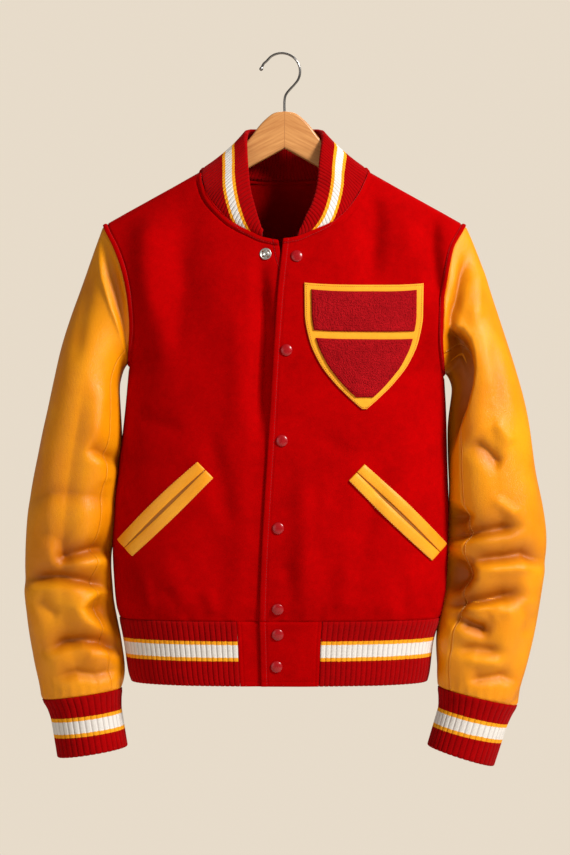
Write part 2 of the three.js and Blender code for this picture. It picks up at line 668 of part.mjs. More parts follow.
// Draw the edges of a grid in by the seam inset, and the lower edge's middle by some more
function inset(grid, edges, middle = 0) {
  const rows = grid.length - 1;
  const columns = grid[0].length - 1;
  const moved = grid.map((row) => row.map((point) => point.clone()));
  const pull = (r, c, towardsR, towardsC, more = 0) => {
    const direction = grid[towardsR][towardsC].clone().sub(grid[r][c]);
    moved[r][c].addScaledVector(direction.normalize(), SEAM_INSET + more);
  };
  for (let r = 0; r <= rows; r += 1) {
    if (edges.includes('start')) pull(r, 0, r, 1);
    if (edges.includes('end')) pull(r, columns, r, columns - 1);
  }
  for (let c = 0; c <= columns; c += 1) {
    const central = 1 - Math.abs((2 * c) / columns - 1);
    if (edges.includes('bottom')) pull(0, c, 1, c, middle * central);
    if (edges.includes('top')) pull(rows, c, rows - 1, c);
  }
  return moved;
}

// Triangles between two rows of point numbers, where the second row may have fewer points
function bridge(indices, dense, sparse, turned) {
  const step = (dense.length - 1) / (sparse.length - 1);
  const add = (a, b, c) => (turned ? indices.push(a, c, b) : indices.push(a, b, c));
  for (let s = 0; s < sparse.length - 1; s += 1) {
    const middle = Math.floor(step / 2);
    for (let k = 0; k < step; k += 1) {
      const d = s * step + k;
      if (k === middle) add(dense[d], sparse[s + 1], sparse[s]);
      add(dense[d], dense[d + 1], k < middle ? sparse[s] : sparse[s + 1]);
    }
  }
}

// Closed wall between an outer grid and an inner one that may have fewer columns
function wallGeometry(outer, inner, ring = false, outward = true) {
  const positions = [];
  const numberOf = (grid) => grid.map((row) => row.map((point) => {
    positions.push(point.x, point.y, point.z);
    return positions.length / 3 - 1;
  }));
  const out = numberOf(outer);
  const back = numberOf(inner);
  if (ring) for (const row of [...out, ...back]) row[row.length - 1] = row[0];
  const indices = [];
  const face = (rows, turned) => {
    for (let r = 0; r < rows.length - 1; r += 1) {
      for (let c = 0; c < rows[r].length - 1; c += 1) {
        const [a, b, d, e] = [rows[r][c], rows[r][c + 1], rows[r + 1][c + 1], rows[r + 1][c]];
        if (turned) indices.push(a, d, b, a, e, d);
        else indices.push(a, b, d, a, d, e);
      }
    }
  };
  face(out, !outward);
  face(back, outward);
  const last = out.length - 1;
  bridge(indices, out[0], back[0], outward);
  bridge(indices, out[last], back[last], !outward);
  if (!ring) {
    const column = (rows, c) => rows.map((row) => row[c < 0 ? row.length - 1 : c]);
    bridge(indices, column(out, 0), column(back, 0), !outward);
    bridge(indices, column(out, -1), column(back, -1), outward);
  }
  const geometry = new THREE.BufferGeometry();
  geometry.setAttribute('position', new THREE.Float32BufferAttribute(positions, 3));
  geometry.setIndex(indices);
  geometry.computeVertexNormals();
  return geometry;
}

const offsetGrid = (grid, directions, distance) => grid.map((row, r) => row.map(
  (point, c) => point.clone().addScaledVector(directions[r][c], distance),
));

function clothWall(name, thickness, edges, middle = 0) {
  const outer = inset(panels[name], edges, middle);
  const inner = offsetGrid(outer, normals[name], -thickness);
  return wallGeometry(outer, inner, false, !FLIPPED.includes(name));
}

const FRONT_SEAMS = ['bottom', 'top', 'end'];
const ALL_SEAMS = ['bottom', 'top', 'start', 'end'];
addPiece('front_right', clothWall('frontLeft', WOOL, FRONT_SEAMS), 'wool');
addPiece('front_left', clothWall('frontRight', WOOL, FRONT_SEAMS), 'wool');
addPiece('back', clothWall('back', WOOL, ALL_SEAMS), 'wool');
addPiece('sleeve_right_upper', clothWall('upperLeft', LEATHER, ALL_SEAMS), 'leather');
addPiece('sleeve_right_under', clothWall('underLeft', LEATHER, ALL_SEAMS, UNDERARM_EASE), 'leather');
addPiece('sleeve_left_upper', clothWall('upperRight', LEATHER, ALL_SEAMS), 'leather');
addPiece('sleeve_left_under', clothWall('underRight', LEATHER, ALL_SEAMS, UNDERARM_EASE), 'leather');

// Lengths along a row of seam points, from its start to each of them
function runningLengths(points) {
  const lengths = [0];
  for (let i = 1; i < points.length; i += 1) {
    lengths.push(lengths[i - 1] + points[i].distanceTo(points[i - 1]));
  }
  return lengths;
}

// Place at a length along a row of seam points: the point, and where between its neighbours it is
function alongSeam(points, lengths, length) {
  let i = 0;
  while (i < lengths.length - 2 && lengths[i + 1] < length) i += 1;
  const t = clamp01((length - lengths[i]) / (lengths[i + 1] - lengths[i]));
  return { point: points[i].clone().lerp(points[i + 1], t), i, t };
}

// Rib knit: rows of a plain wall with every other column raised, less so at the seam
function ribWall(rows, directions, ring, outward) {
  const outer = rows.map((row, r) => row.map((point, c) => {
    const height = r === 0 ? SEAM_RIB : RIB;
    return point.clone().addScaledVector(directions[r][c], c % 2 === 1 ? height : 0);
  }));
  const inner = rows.map((row, r) => row
    .map((point, c) => point.clone().addScaledVector(directions[r][c], -KNIT))
    .filter((_, c) => c % INNER_STEP === 0));
  return wallGeometry(outer, inner, ring, outward);
}

// Points of the neck seam, each with its side and its station in the collar's table
function neckSeam() {
  const front = panels.frontLeft.length - 1;
  const places = [];
  for (let k = 1; k <= NECK_POINT_STATION; k += 1) {
    places.push({ point: panels.frontLeft[front][k], side: 'left', station: k });
  }
  const back = panels.back[panels.back.length - 1];
  const last = BACK_NECK_STATIONS.length - 1;
  for (let k = 1; k <= last; k += 1) {
    places.push({ point: back[SHOULDER_STEPS + k], side: 'left', station: BACK_NECK_STATIONS[k] });
  }
  for (let k = last - 1; k > 0; k -= 1) {
    const point = back[SHOULDER_STEPS + 2 * last - k];
    places.push({ point, side: 'right', station: BACK_NECK_STATIONS[k] });
  }
  for (let k = NECK_POINT_STATION; k >= 1; k -= 1) {
    places.push({ point: panels.frontRight[front][k], side: 'right', station: k });
  }
  return places;
}

// Collar: from the neck seam to its free edge, bulging out on the way
function collar() {
  const places = neckSeam();
  const seam = places.map(({ point }) => point);
  const lengths = runningLengths(seam);
  const columns = 2 * COLLAR_RIBS;
  const grid = Array.from({ length: COLLAR_ROWS + 1 }, () => []);
  for (let c = 0; c <= columns; c += 1) {
    const { point, i, t } = alongSeam(seam, lengths, (lengths[lengths.length - 1] * c) / columns);
    const table = COLLAR[places[i + 1].side];
    const station = lerp(places[i].station, places[i + 1].station, t);
    const [x, y, z] = ['edgeX', 'edgeY', 'edgeZ'].map((column) => byStation(table, station, column));
    const edge = new THREE.Vector3(x, y, z);
    const rise = edge.clone().sub(point);
    const width = rise.length();
    const away = new THREE.Vector3(point.x, point.y, 0).normalize();
    away.z = COLLAR_LEAN;
    const bulge = away.addScaledVector(rise, -away.dot(rise) / rise.lengthSq()).normalize();
    const start = point.addScaledVector(rise, (2 * SEAM_INSET) / width);
    for (let r = 0; r <= COLLAR_ROWS; r += 1) {
      const v = r / COLLAR_ROWS;
      const lift = COLLAR_BULGE * Math.min(width / COLLAR_FULL_WIDTH, 1) * 4 * v * (1 - v);
      grid[r].push(start.clone().lerp(edge, v).addScaledVector(bulge, lift));
    }
  }
  return grid;
}

const collarGrid = collar();
addPiece('collar', ribWall(collarGrid, gridNormals(collarGrid, true), false, false), 'knit');

// Lower seam of the body, from the lower front's edge round the back to the upper front's edge
function hemSeam() {
  const right = panels.frontRight[0].slice(0, -1).reverse();
  return [...panels.frontLeft[0], ...panels.back[0].slice(1), ...right];
}

// Heights of the hem band's rows
const HEM_ROWS = [HEM_SEAM_Z - SEAM_INSET, -745, HEM_Z];

// Place on the hem band at a height, under a point of the seam
function hemPoint(seamPoint, z) {
  const side = sideOf(seamPoint.x);
  const reach = sideReach(side, z) / sideReach(side, HEM_SEAM_Z);
  const keep = smooth(BODY_GATHER, 'z', z, 'keep') / smooth(BODY_GATHER, 'z', HEM_SEAM_Z, 'keep');
  return new THREE.Vector3(seamPoint.x * reach, seamPoint.y * keep, z);
}

// Length along the seam at which it passes x, looked for from its start or from its end
function lengthAtX(seam, lengths, x, fromEnd) {
  const step = fromEnd ? -1 : 1;
  let i = fromEnd ? seam.length - 1 : 0;
  while ((seam[i].x - x) * (seam[i + step].x - x) > 0) i += step;
  const t = (x - seam[i].x) / (seam[i + step].x - seam[i].x);
  return lerp(lengths[i], lengths[i + step], t);
}

// Grid of the hem band between two lengths along the seam
function hemGrid(seam, lengths, start, end, columns) {
  const grid = HEM_ROWS.map(() => []);
  for (let c = 0; c <= columns; c += 1) {
    const { point } = alongSeam(seam, lengths, lerp(start, end, c / columns));
    HEM_ROWS.forEach((z, r) => grid[r].push(hemPoint(point, z)));
  }
  return grid;
}

function hemTab(seam, lengths, start, end) {
  const grid = hemGrid(seam, lengths, start, end, TAB_COLUMNS);
  return wallGeometry(grid, offsetGrid(grid, gridNormals(grid, false), -WOOL));
}

const hem = hemSeam();
const hemLengths = runningLengths(hem);
const ribStart = lengthAtX(hem, hemLengths, RIB_START, false);
const ribEnd = lengthAtX(hem, hemLengths, RIB_END, true);
const ribGrid = hemGrid(hem, hemLengths, ribStart, ribEnd, 2 * HEM_RIBS);
addPiece('hem_rib', ribWall(ribGrid, gridNormals(ribGrid, false), false, true), 'knit');
addPiece('hem_tab_right', hemTab(hem, hemLengths, 0, ribStart - TAB_GAP), 'tab');
addPiece('hem_tab_left', hemTab(hem, hemLengths, ribEnd + TAB_GAP, hemLengths[hemLengths.length - 1]), 'tab');

// Cuffs: from the sleeve's last ring down
function cuff(side) {
  const rings = sleeves[side];
  const seam = rings[rings.length - 1];
  const columns = 2 * CUFF_RIBS;
  const step = seam.length / columns;
  const rows = CUFF[side];
  const grid = Array.from({ length: rows.length + 1 }, () => []);
  for (let c = 0; c <= columns; c += 1) {
    const at = (c % columns) * step;
    const i = Math.floor(at);
    const point = seam[i].clone().lerp(seam[(i + 1) % seam.length], at - i);
    const turn = (2 * Math.PI * at) / seam.length;
    rows.forEach((row, r) => {
      const length = Math.hypot(row.outX - row.inX, row.outZ - row.inZ);
      grid[r + 1].push(ringPoint({ ...row, middle: SLEEVE_MIDDLE_Y, length }, turn));
    });
    const down = grid[1][c].clone().sub(point).normalize();
    grid[0].push(point.addScaledVector(down, SEAM_INSET));
  }
  const flip = side === 'right';
  const last = sleevePlace(side, SLEEVE[side].length - 1);
  const axis = new THREE.Vector3(last.outZ - last.inZ, 0, last.inX - last.outX).normalize();
  const directions = grid.map((row, r) => row.map((_, c) => {
    const before = row[(c - 1 + columns) % columns];
    const after = row[(c + 1) % columns];
    const up = grid[Math.min(r + 1, rows.length)][c].clone().sub(grid[Math.max(r - 1, 0)][c]);
    const normal = after.clone().sub(before).cross(up).normalize();
    if (r === 0) normal.addScaledVector(axis, -normal.dot(axis)).normalize();
    return flip ? normal.negate() : normal;
  }));
  return ribWall(grid, directions, true, !flip);
}

addPiece('cuff_right', cuff('left'), 'knit');
addPiece('cuff_left', cuff('right'), 'knit');

// Points on the faceted front panels, for what lies on them
function panelAt(name, x, z) {
  const grid = panels[name];
  for (let r = 0; r < grid.length - 1; r += 1) {
    for (let c = 0; c < grid[0].length - 1; c += 1) {
      const [a, b, d, e] = [grid[r][c], grid[r][c + 1], grid[r + 1][c + 1], grid[r + 1][c]];
      for (const [p, q, s] of [[a, b, d], [a, d, e]]) {
        const area = (q.x - p.x) * (s.z - p.z) - (s.x - p.x) * (q.z - p.z);
        const u = ((x - p.x) * (s.z - p.z) - (s.x - p.x) * (z - p.z)) / area;
        const v = ((q.x - p.x) * (z - p.z) - (x - p.x) * (q.z - p.z)) / area;
        if (u >= -1e-6 && v >= -1e-6 && u + v <= 1 + 1e-6) {
          const y = p.y + u * (q.y - p.y) + v * (s.y - p.y);
          const normal = q.clone().sub(p).cross(s.clone().sub(p)).normalize();
          if (normal.y > 0) normal.negate();
          return { point: new THREE.Vector3(x, y, z), normal };
        }
      }
    }
  }
  throw new Error(`${name} has no point at ${x}, ${z}`);
}

// Body surface and its normal at a place seen from the front
function surfaceAt(name, x, z) {
  const { point } = panelAt(name, x, z);
  const step = 3;
  const y = (dx, dz) => panelAt(name, x + dx, z + dz).point.y;
  const slopeX = (y(step, 0) - y(-step, 0)) / (2 * step);
  const slopeZ = (y(0, step) - y(0, -step)) / (2 * step);
  return { point, normal: new THREE.Vector3(slopeX, -1, slopeZ).normalize() };
}

// Snap caps: low domes turned to the surface they sit on
function snap(name, at, finish, surface) {
  const profile = [
    [0, 0],
    [CAP_RADIUS * 0.93, 0],
    [CAP_RADIUS, 0.7],
    [CAP_RADIUS * 0.8, CAP_HEIGHT * 0.78],
    [0, CAP_HEIGHT],
  ].map(([r, y]) => new THREE.Vector2(r, y));
  const mesh = addPiece(name, new THREE.LatheGeometry(profile, 10), finish);
  mesh.position.copy(surface.point).addScaledVector(surface.normal, SNAP_SEAT);
  mesh.quaternion.setFromUnitVectors(new THREE.Vector3(0, 1, 0), surface.normal);
}

// Outer face of the upper front's hem tab, flat between the rows of the band
function hemSurface(x, z) {
  const seam = panels.frontRight[0];
  const row = z > HEM_ROWS[1] ? 0 : 1;
  let i = 0;
  while (seam[i + 1].x < x) i += 1;
  const t = (x - seam[i].x) / (seam[i + 1].x - seam[i].x);
  const place = seam[i].clone().lerp(seam[i + 1], t);
  const high = hemPoint(place, HEM_ROWS[row]);
  const low = hemPoint(place, HEM_ROWS[row + 1]);
  const slope = (high.y - low.y) / (high.z - low.z);
  return {
    point: new THREE.Vector3(x, high.y + slope * (z - high.z), z),
    normal: new THREE.Vector3(0, -1, slope).normalize(),
  };
}

SNAPS.forEach((at, i) => {
  const surface = at.z > HEM_SEAM_Z ? surfaceAt('frontRight', at.x, at.z) : hemSurface(at.x, at.z);
  snap(`snap_cap_${i + 1}`, at, 'cap', surface);
});
snap('snap_stud', STUD, 'stud', surfaceAt('frontLeft', STUD.x, STUD.z));

// A strip that lies on a front panel: a grid of places lifted off it, with a rounded outer face
function panelPatch(panel, places, bottom, top, edgeDrop) {
  const outer = [];
  const inner = [];
  places.forEach((row, r) => {
    outer.push([]);
    inner.push([]);
    row.forEach(([x, z], c) => {
      const { point, normal } = surfaceAt(panel, x, z);
      const rim = r === 0 || c === 0 || r === places.length - 1 || c === row.length - 1;
      outer[r].push(point.clone().addScaledVector(normal, rim ? top - edgeDrop : top));
      inner[r].push(point.clone().addScaledVector(normal, bottom));
    });
  });
  const [a, b, c] = [outer[0][0], outer[0][1], outer[1][0]];
  const facing = b.clone().sub(a).cross(c.clone().sub(a)).y < 0;
  return wallGeometry(outer, inner, false, facing);
}

function pocket(side) {
  const { x0, z0, x1, z1, width } = POCKETS[side];
  const panel = side === 'left' ? 'frontLeft' : 'frontRight';
  const worn = side === 'left' ? 'right' : 'left';
  const length = Math.hypot(x1 - x0, z1 - z0);
  const along = [(x1 - x0) / length, (z1 - z0) / length];
  const up = along[0] > 0 ? [-along[1], along[0]] : [along[1], -along[0]];
  const steps = 13;
  const across = 3;
  const strip = (from, to) => {
    const places = [];
    for (let r = 0; r <= across; r += 1) {
      places.push([]);
      for (let c = 0; c <= steps; c += 1) {
        const bow = Math.sin((Math.PI * c) / steps);
        const off = lerp(from(bow), to(bow), r / across);
        const at = (length * c) / steps;
        places[r].push([x0 + along[0] * at + up[0] * off, z0 + along[1] * at + up[1] * off]);
      }
    }
    return panelPatch(panel, places, WELT_SEAT, WELT_SEAT + WELT, WELT_EDGE);
  };
  addPiece(`pocket_welt_${worn}_upper`, strip(
    (bow) => 0.4 + (SLIT / 2) * bow,
    (bow) => width - 1.5 + 2.5 * bow,
  ), 'welt');
  addPiece(`pocket_welt_${worn}_lower`, strip(
    (bow) => -width + 1 - 1.5 * bow,
    (bow) => -0.4 - (SLIT / 2) * bow,
  ), 'welt');
}

pocket('left');
pocket('right');

// Shield patch: half-width by height, 0 at the point and 1 at the top
const SHIELD = [
  { rise: 0, half: 3 },
  { rise: 0.08, half: 17 },
  { rise: 0.2, half: 36 },
  { rise: 0.36, half: 55 },
  { rise: 0.55, half: 68 },
  { rise: 0.75, half: 73.5 },
  { rise: 1, half: 74 },
];

function shieldPlaces(border, rows, from = 0, to = 1) {
  const columns = 10;
  const low = PATCH.z - PATCH.bottom + border * 1.7;
  const high = PATCH.z + PATCH.top - border;
  const places = [];
  for (let r = 0; r <= rows; r += 1) {
    const rise = lerp(from, to, r / rows);
    const z = lerp(low, high, rise);
    const reach = smooth(SHIELD, 'rise', (z - PATCH.z + PATCH.bottom) / (PATCH.top + PATCH.bottom), 'half');
    const half = Math.max(reach - border, 2.4);
    places.push(Array.from({ length: columns + 1 }, (_, c) => {
      const across = (2 * c) / columns - 1;
      return [PATCH.x + half * across, z + 2.5 * Math.abs(across) ** 3 * rise];
    }));
  }
  return places;
}

const feltTop = PATCH_SEAT + PATCH.felt;
const pileBottom = feltTop + SEAT + 0.15;
const pileTop = pileBottom + PATCH.pile;
const pileEdge = 1.4;
const feltPlaces = shieldPlaces(0, 12);
const upperPile = shieldPlaces(PATCH.border, 4, 0.62, 1);
const lowerPile = shieldPlaces(PATCH.border, 6, 0, 0.55);
addPiece('patch_felt', panelPatch('frontRight', feltPlaces, PATCH_SEAT, feltTop, 0.5), 'felt');
addPiece('patch_pile_upper', panelPatch('frontRight', upperPile, pileBottom, pileTop, pileEdge), 'pile');
addPiece('patch_pile_lower', panelPatch('frontRight', lowerPile, pileBottom, pileTop, pileEdge), 'pile');

// Hanger: one outline, the same on both sides of the middle, with rounded edges
function hangerGeometry() {
  const lineTop = (x) => NECK_Z + SHOULDER_SLOPE * (NECK_HALF - x) - ARM_CLEARANCE;
  const lineUnder = (x) => UNDERSIDE_APEX - UNDERSIDE_SLOPE * x;
  const head = new THREE.SplineCurve(HANGER_TOP.map(({ x, z }) => new THREE.Vector2(x, z)));
  const half = head.getPoints(12);
  half.push(new THREE.Vector2(100, lineTop(100) - COLLAR_DIP));
  half.push(new THREE.Vector2(116, lineTop(116)));
  half.push(new THREE.Vector2(ARM_HALF_SPAN - TIP_ROUND, lineTop(ARM_HALF_SPAN - TIP_ROUND)));
  half.push(new THREE.Vector2(ARM_HALF_SPAN - 3, lineTop(ARM_HALF_SPAN) - 2));
  half.push(new THREE.Vector2(ARM_HALF_SPAN, lineTop(ARM_HALF_SPAN) - 10));
  half.push(new THREE.Vector2(ARM_HALF_SPAN - 4, lineUnder(ARM_HALF_SPAN) + 4));
  half.push(new THREE.Vector2(ARM_HALF_SPAN - TIP_ROUND, lineUnder(ARM_HALF_SPAN - TIP_ROUND)));
  half.push(new THREE.Vector2(0, UNDERSIDE_APEX));
  const mirrored = half.slice(1, -1).reverse().map(({ x, y }) => new THREE.Vector2(-x, y));
  const geometry = new THREE.ExtrudeGeometry(new THREE.Shape([...half, ...mirrored]), {
    depth: ARM_THICKNESS - 2 * WOOD_BEVEL,
    bevelEnabled: true,
    bevelThickness: WOOD_BEVEL,
    bevelSize: WOOD_BEVEL,
    bevelOffset: -WOOD_BEVEL,
    bevelSegments: 2,
  });
  geometry.translate(0, 0, -(ARM_THICKNESS / 2 - WOOD_BEVEL));
  geometry.rotateX(Math.PI / 2);
  return geometry;
}

addPiece('hanger', hangerGeometry(), 'wood');

// Hook: one wire from its tip over the bend and down the shank into the head
function hookGeometry() {
  const centreZ = -Math.sqrt(HOOK_RADIUS ** 2 - HOOK_CENTRE_X ** 2);
  const wireBend = HOOK_RADIUS + WIRE_RADIUS;
  const points = [new THREE.Vector3(-30.5, 0, -20.5), new THREE.Vector3(-27, 0, -12.5)];
  for (let degrees = 145; degrees >= -45; degrees -= 19) {
    const a = (degrees * Math.PI) / 180;
    const x = HOOK_CENTRE_X + wireBend * Math.cos(a);
    points.push(new THREE.Vector3(x, 0, centreZ + wireBend * Math.sin(a)));
  }
  points.push(new THREE.Vector3(3, 0, -49), new THREE.Vector3(0, 0, -58));
  points.push(new THREE.Vector3(0, 0, HEAD_TOP + SEAT + 0.4));
  const path = new THREE.CatmullRomCurve3(points);
  const section = new THREE.Shape();
  section.absarc(0, 0, WIRE_RADIUS, 0, 2 * Math.PI);
  return new THREE.ExtrudeGeometry(section, {
    steps: 36,
    extrudePath: path,
    curveSegments: 5,
    bevelEnabled: false,
  });
}

addPiece('hook', hookGeometry(), 'hook');

export default jacket;
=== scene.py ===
# Varsity jacket on a wooden hanger. Shapes are worked out in millimetres and made in metres.
import math

import bmesh
import bpy
import numpy as np
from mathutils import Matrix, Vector


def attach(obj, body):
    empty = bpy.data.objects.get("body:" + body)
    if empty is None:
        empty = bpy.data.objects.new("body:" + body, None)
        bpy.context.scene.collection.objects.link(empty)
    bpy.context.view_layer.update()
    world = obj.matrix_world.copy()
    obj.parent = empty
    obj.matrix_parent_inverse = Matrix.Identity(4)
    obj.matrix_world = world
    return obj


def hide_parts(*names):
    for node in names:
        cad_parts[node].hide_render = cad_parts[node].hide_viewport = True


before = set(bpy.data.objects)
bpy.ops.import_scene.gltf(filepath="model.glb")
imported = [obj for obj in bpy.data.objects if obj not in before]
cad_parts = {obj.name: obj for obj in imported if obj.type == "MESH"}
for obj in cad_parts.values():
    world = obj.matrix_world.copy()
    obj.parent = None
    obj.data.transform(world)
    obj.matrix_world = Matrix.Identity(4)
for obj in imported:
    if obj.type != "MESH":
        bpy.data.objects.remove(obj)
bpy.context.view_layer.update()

MM = 0.001
BODY = "root"

# Sizes of the cloth and the frame it hangs on
WOOL = 2.2
LEATHER = 1.8
NECK_HALF = 105.0
NECK_Z = -147.0
SHOULDER_HALF = 230.0
SHOULDER_SLOPE = 0.567
HEM_SEAM_Z = -714.0
HEM_Z = -795.0
RIDGE = 9.0
FALL = {"front": (80.0, 110.0), "back": (60.0, 60.0)}    # depth and reach
ROUNDNESS = 2.5
SIDE_ROWS = 8
ARM_ROWS = 9
ARM_POINTS = 79                    # points of a panel along its armhole seam
SIDE_SHARE = 0.62
CAP_STATIONS = 5
OVERLAP_DROP = 3.1
SLEEVE_MIDDLE_Y = -8.0
UNDER_TURN = math.radians(40)
WIRE_RADIUS = 1.5
HOOK_RADIUS = 21.7
HOOK_X = -3.5

# The picture's frame: how far off it is seen from, and what it shows
VIEW_DISTANCE = 3000.0
PIXEL = 1.27
PICTURE = (570, 855)
VIEW_X = 0.6
VIEW_Z = -473.7
BEND_BLEND = 3.5                   # pixels over which a crease turns from one stretch to the next


def table(columns, *rows):
    return dict(zip(columns.split(), np.array(rows, float).T))


BODY_WIDTHS = table("z left right",
                    (-795, 193, 180), (-783, 197, 183), (-746, 202.5, 187.5), (-714, 209, 197),
                    (-700, 213, 201), (-676, 215.5, 205), (-623, 218, 207.5), (-570, 216.5, 208),
                    (-515, 209.5, 206.5), (-455, 202.5, 205), (-400, 197.5, 202))
BODY_GATHER = table("z keep", (-795, 0.84), (-745, 0.88), (-714, 0.92), (-690, 0.98), (-620, 1))
ARMHOLE = {
    "left": table("z x", (-392, 197), (-346, 193.5), (-317, 195.5), (-285, 201.5), (-250, 214),
                  (-226, 226.5), (-217.9, 230)),
    "right": table("z x", (-404, 201.5), (-361, 197.5), (-317, 199), (-282, 205), (-250, 212),
                   (-226, 225.5), (-217.9, 230)),
}
FRONT_EDGE = {
    "left": table("z x", (-795, 6), (-714, 8), (-500, 14), (-378, 18), (-300, 8), (-262, -4),
                  (-241, -7.5)),
    "right": table("z x", (-795, -32), (-711, -31.4), (-637, -29), (-489, -20.5), (-315, -9.7),
                   (-239, -2)),
}
COLLAR = {
    "left": table("seam_x seam_z x y z",
                  (-7.5, -241, -9, -63, -240), (-28, -236.5, -27, -63, -230),
                  (-40, -231, -33, -61, -217), (-59, -221.5, -39, -55, -197),
                  (-76, -209, -44.5, -44, -174), (-98, -182, -48.5, -27, -137),
                  (-105, -147, -50.5, -6, -103.5), (-90, -149, -47, 17, -95),
                  (-58, -154, -32, 33, -93.5), (0, -158, 0, 41, -92.5)),
    "right": table("seam_x seam_z x y z",
                   (-2, -239, 1, -63, -238), (16, -236, 18, -63, -229),
                   (35.5, -228, 28, -61, -211), (55, -219.5, 36, -55, -194),
                   (72, -209, 42, -44, -172), (92, -181, 46, -27, -137),
                   (105, -147, 50.5, -6, -103.5), (90, -149, 46, 17, -95),
                   (58, -154, 32, 33, -93.5), (0, -158, 0, 41, -92.5)),
}
SLEEVE = {
    "left": table("out_x out_z in_x in_z front back",
                  (-230, -217.9, -197, -392, 52, 48), (-243, -254, -200, -394.5, 54, 50),
                  (-257.5, -295, -202.5, -398, 56, 52), (-270.5, -332, -205, -404, 58, 54),
                  (-282.5, -372, -208, -416, 59, 55), (-291.5, -412, -211.5, -438, 59, 55),
                  (-300, -452, -215.5, -470, 58, 55), (-309, -492, -219, -505, 57, 55),
                  (-319, -545, -224.5, -552, 56, 54), (-325, -592, -227, -592, 56, 53),
                  (-328, -634, -230.5, -630, 56, 52), (-329.5, -676, -230, -667, 55, 51),
                  (-326.5, -717, -227, -704, 53, 49), (-318, -762, -215, -748, 49, 46),
                  (-310, -797, -206.5, -783, 45, 42), (-306.5, -817, -206, -803, 41, 38)),
    "right": table("out_x out_z in_x in_z front back",
                   (230, -217.9, 201.5, -404, 52, 48), (242, -246, 204.5, -406.5, 54, 50),
                   (255.5, -284, 207, -409.5, 56, 52), (267.5, -321, 209.5, -414.5, 58, 54),
                   (280, -360, 211.5, -422, 59, 55), (291.5, -397, 213, -436, 59, 55),
                   (302.5, -436, 213.5, -460, 58, 55), (309.5, -470, 214.5, -484, 58, 55),
                   (317, -520, 215, -526, 57, 54), (326, -572, 215, -572, 57, 53),
                   (330.5, -620, 214, -617, 56, 52), (328, -664, 211, -657, 55, 51),
                   (319.5, -718, 205, -706, 53, 49), (309, -764, 198, -748, 49, 46),
                   (300, -803, 194, -780, 45, 42), (294.5, -825, 194.5, -801, 41, 38)),
}
CUFF = {
    "left": table("out_x out_z in_x in_z front back",
                  (-299, -829, -207.5, -815, 38, 36), (-294.5, -842, -207.5, -829, 36, 34),
                  (-286.5, -891, -199.5, -877, 35, 33)),
    "right": table("out_x out_z in_x in_z front back",
                   (287, -837, 196, -813, 38, 36), (281, -850, 196, -827, 36, 34),
                   (264, -902, 181.5, -876, 35, 33)),
}
# Large soft folds of the body, along a line in the front view
BODY_FOLDS = {
    "front": [(-160, -200, -150, -420, 22, 5), (-120, -215, -105, -380, 20, -4),
              (112, -200, 114, -285, 18, -3), (192, -300, 190, -480, 18, 4),
              (-150, -640, -130, -712, 20, 5), (-95, -590, -70, -700, 24, -4),
              (30, -600, 20, -705, 20, 4), (120, -650, 135, -712, 20, 4),
              (-200, -470, -130, -430, 18, 4)],
    "back": [(-110, -200, -140, -470, 26, 6), (105, -200, 130, -440, 26, 6),
             (-30, -230, -45, -520, 30, -5), (45, -250, 30, -560, 30, -5),
             (-110, -600, -95, -712, 24, 5), (10, -610, 0, -712, 26, 5),
             (115, -620, 105, -712, 22, 5)],
}
# Creases, each a line of places in the picture: height (a trough is negative), half-width,
# lean to the line's right, then the places
BODY_CREASES = [
    (9.0, 14, 0.4, (150, 196), (146, 260), (154, 340)),
    (-10.0, 11, 0.0, (372, 186), (375, 225), (368, 285)),
    (-14.0, 9, 0.5, (437, 196), (434, 250), (441, 312)),
    (-5.0, 11, 0.0, (206, 420), (218, 470), (232, 540)),
    (-6.0, 12, 0.3, (178, 225), (184, 290), (176, 370)),
    (-5.0, 12, 0.0, (392, 450), (374, 500), (352, 570)),
    (5.0, 12, 0.0, (300, 470), (306, 530), (300, 590)),
    (3.0, 11, 0.3, (236, 290), (240, 380), (238, 450)),
    (-13.0, 8, 0.6, (262, 250), (265, 330), (260, 445)),
    (-4.0, 9, 0.4, (164, 584), (176, 604), (184, 618)),
    (3.4, 7, -0.3, (140, 565), (146, 594), (150, 616)),
    (-3.0, 8, 0.0, (284, 556), (291, 590), (290, 612)),
    (3.4, 9, 0.4, (352, 556), (344, 590), (342, 614)),
    (-3.4, 7, 0.0, (398, 570), (404, 596), (402, 616)),
    (-3.0, 9, 0.3, (312, 430), (350, 452), (392, 452)),
    (3.0, 8, 0.0, (330, 470), (322, 520), (330, 560)),
    (-3.2, 8, 0.4, (122, 396), (150, 420), (190, 432)),
    (2.8, 7, 0.0, (205, 586), (212, 604), (214, 618)),
    (-2.8, 6, 0.0, (424, 592), (428, 606), (430, 618)),
    (3.0, 10, 0.0, (404, 190), (408, 225), (410, 265)),
    (-3.0, 9, 0.0, (128, 440), (132, 480), (140, 520)),
]
BACK_CREASES = [
    (2.6, 10, 0.5, (150, 215), (156, 270), (168, 330)),
    (-2.6, 9, 0.0, (420, 225), (410, 280), (396, 340)),
    (-2.2, 9, 0.3, (230, 240), (236, 320), (232, 400)),
    (2.2, 9, 0.0, (330, 250), (322, 330), (330, 430)),
    (-2.0, 8, 0.4, (180, 560), (186, 590), (190, 616)),
    (2.0, 8, 0.0, (250, 540), (246, 585), (250, 616)),
    (-2.0, 8, 0.0, (320, 560), (326, 590), (322, 616)),
    (2.0, 8, -0.4, (380, 555), (388, 590), (384, 616)),
    (-1.8, 8, 0.0, (140, 470), (180, 455), (220, 460)),
]
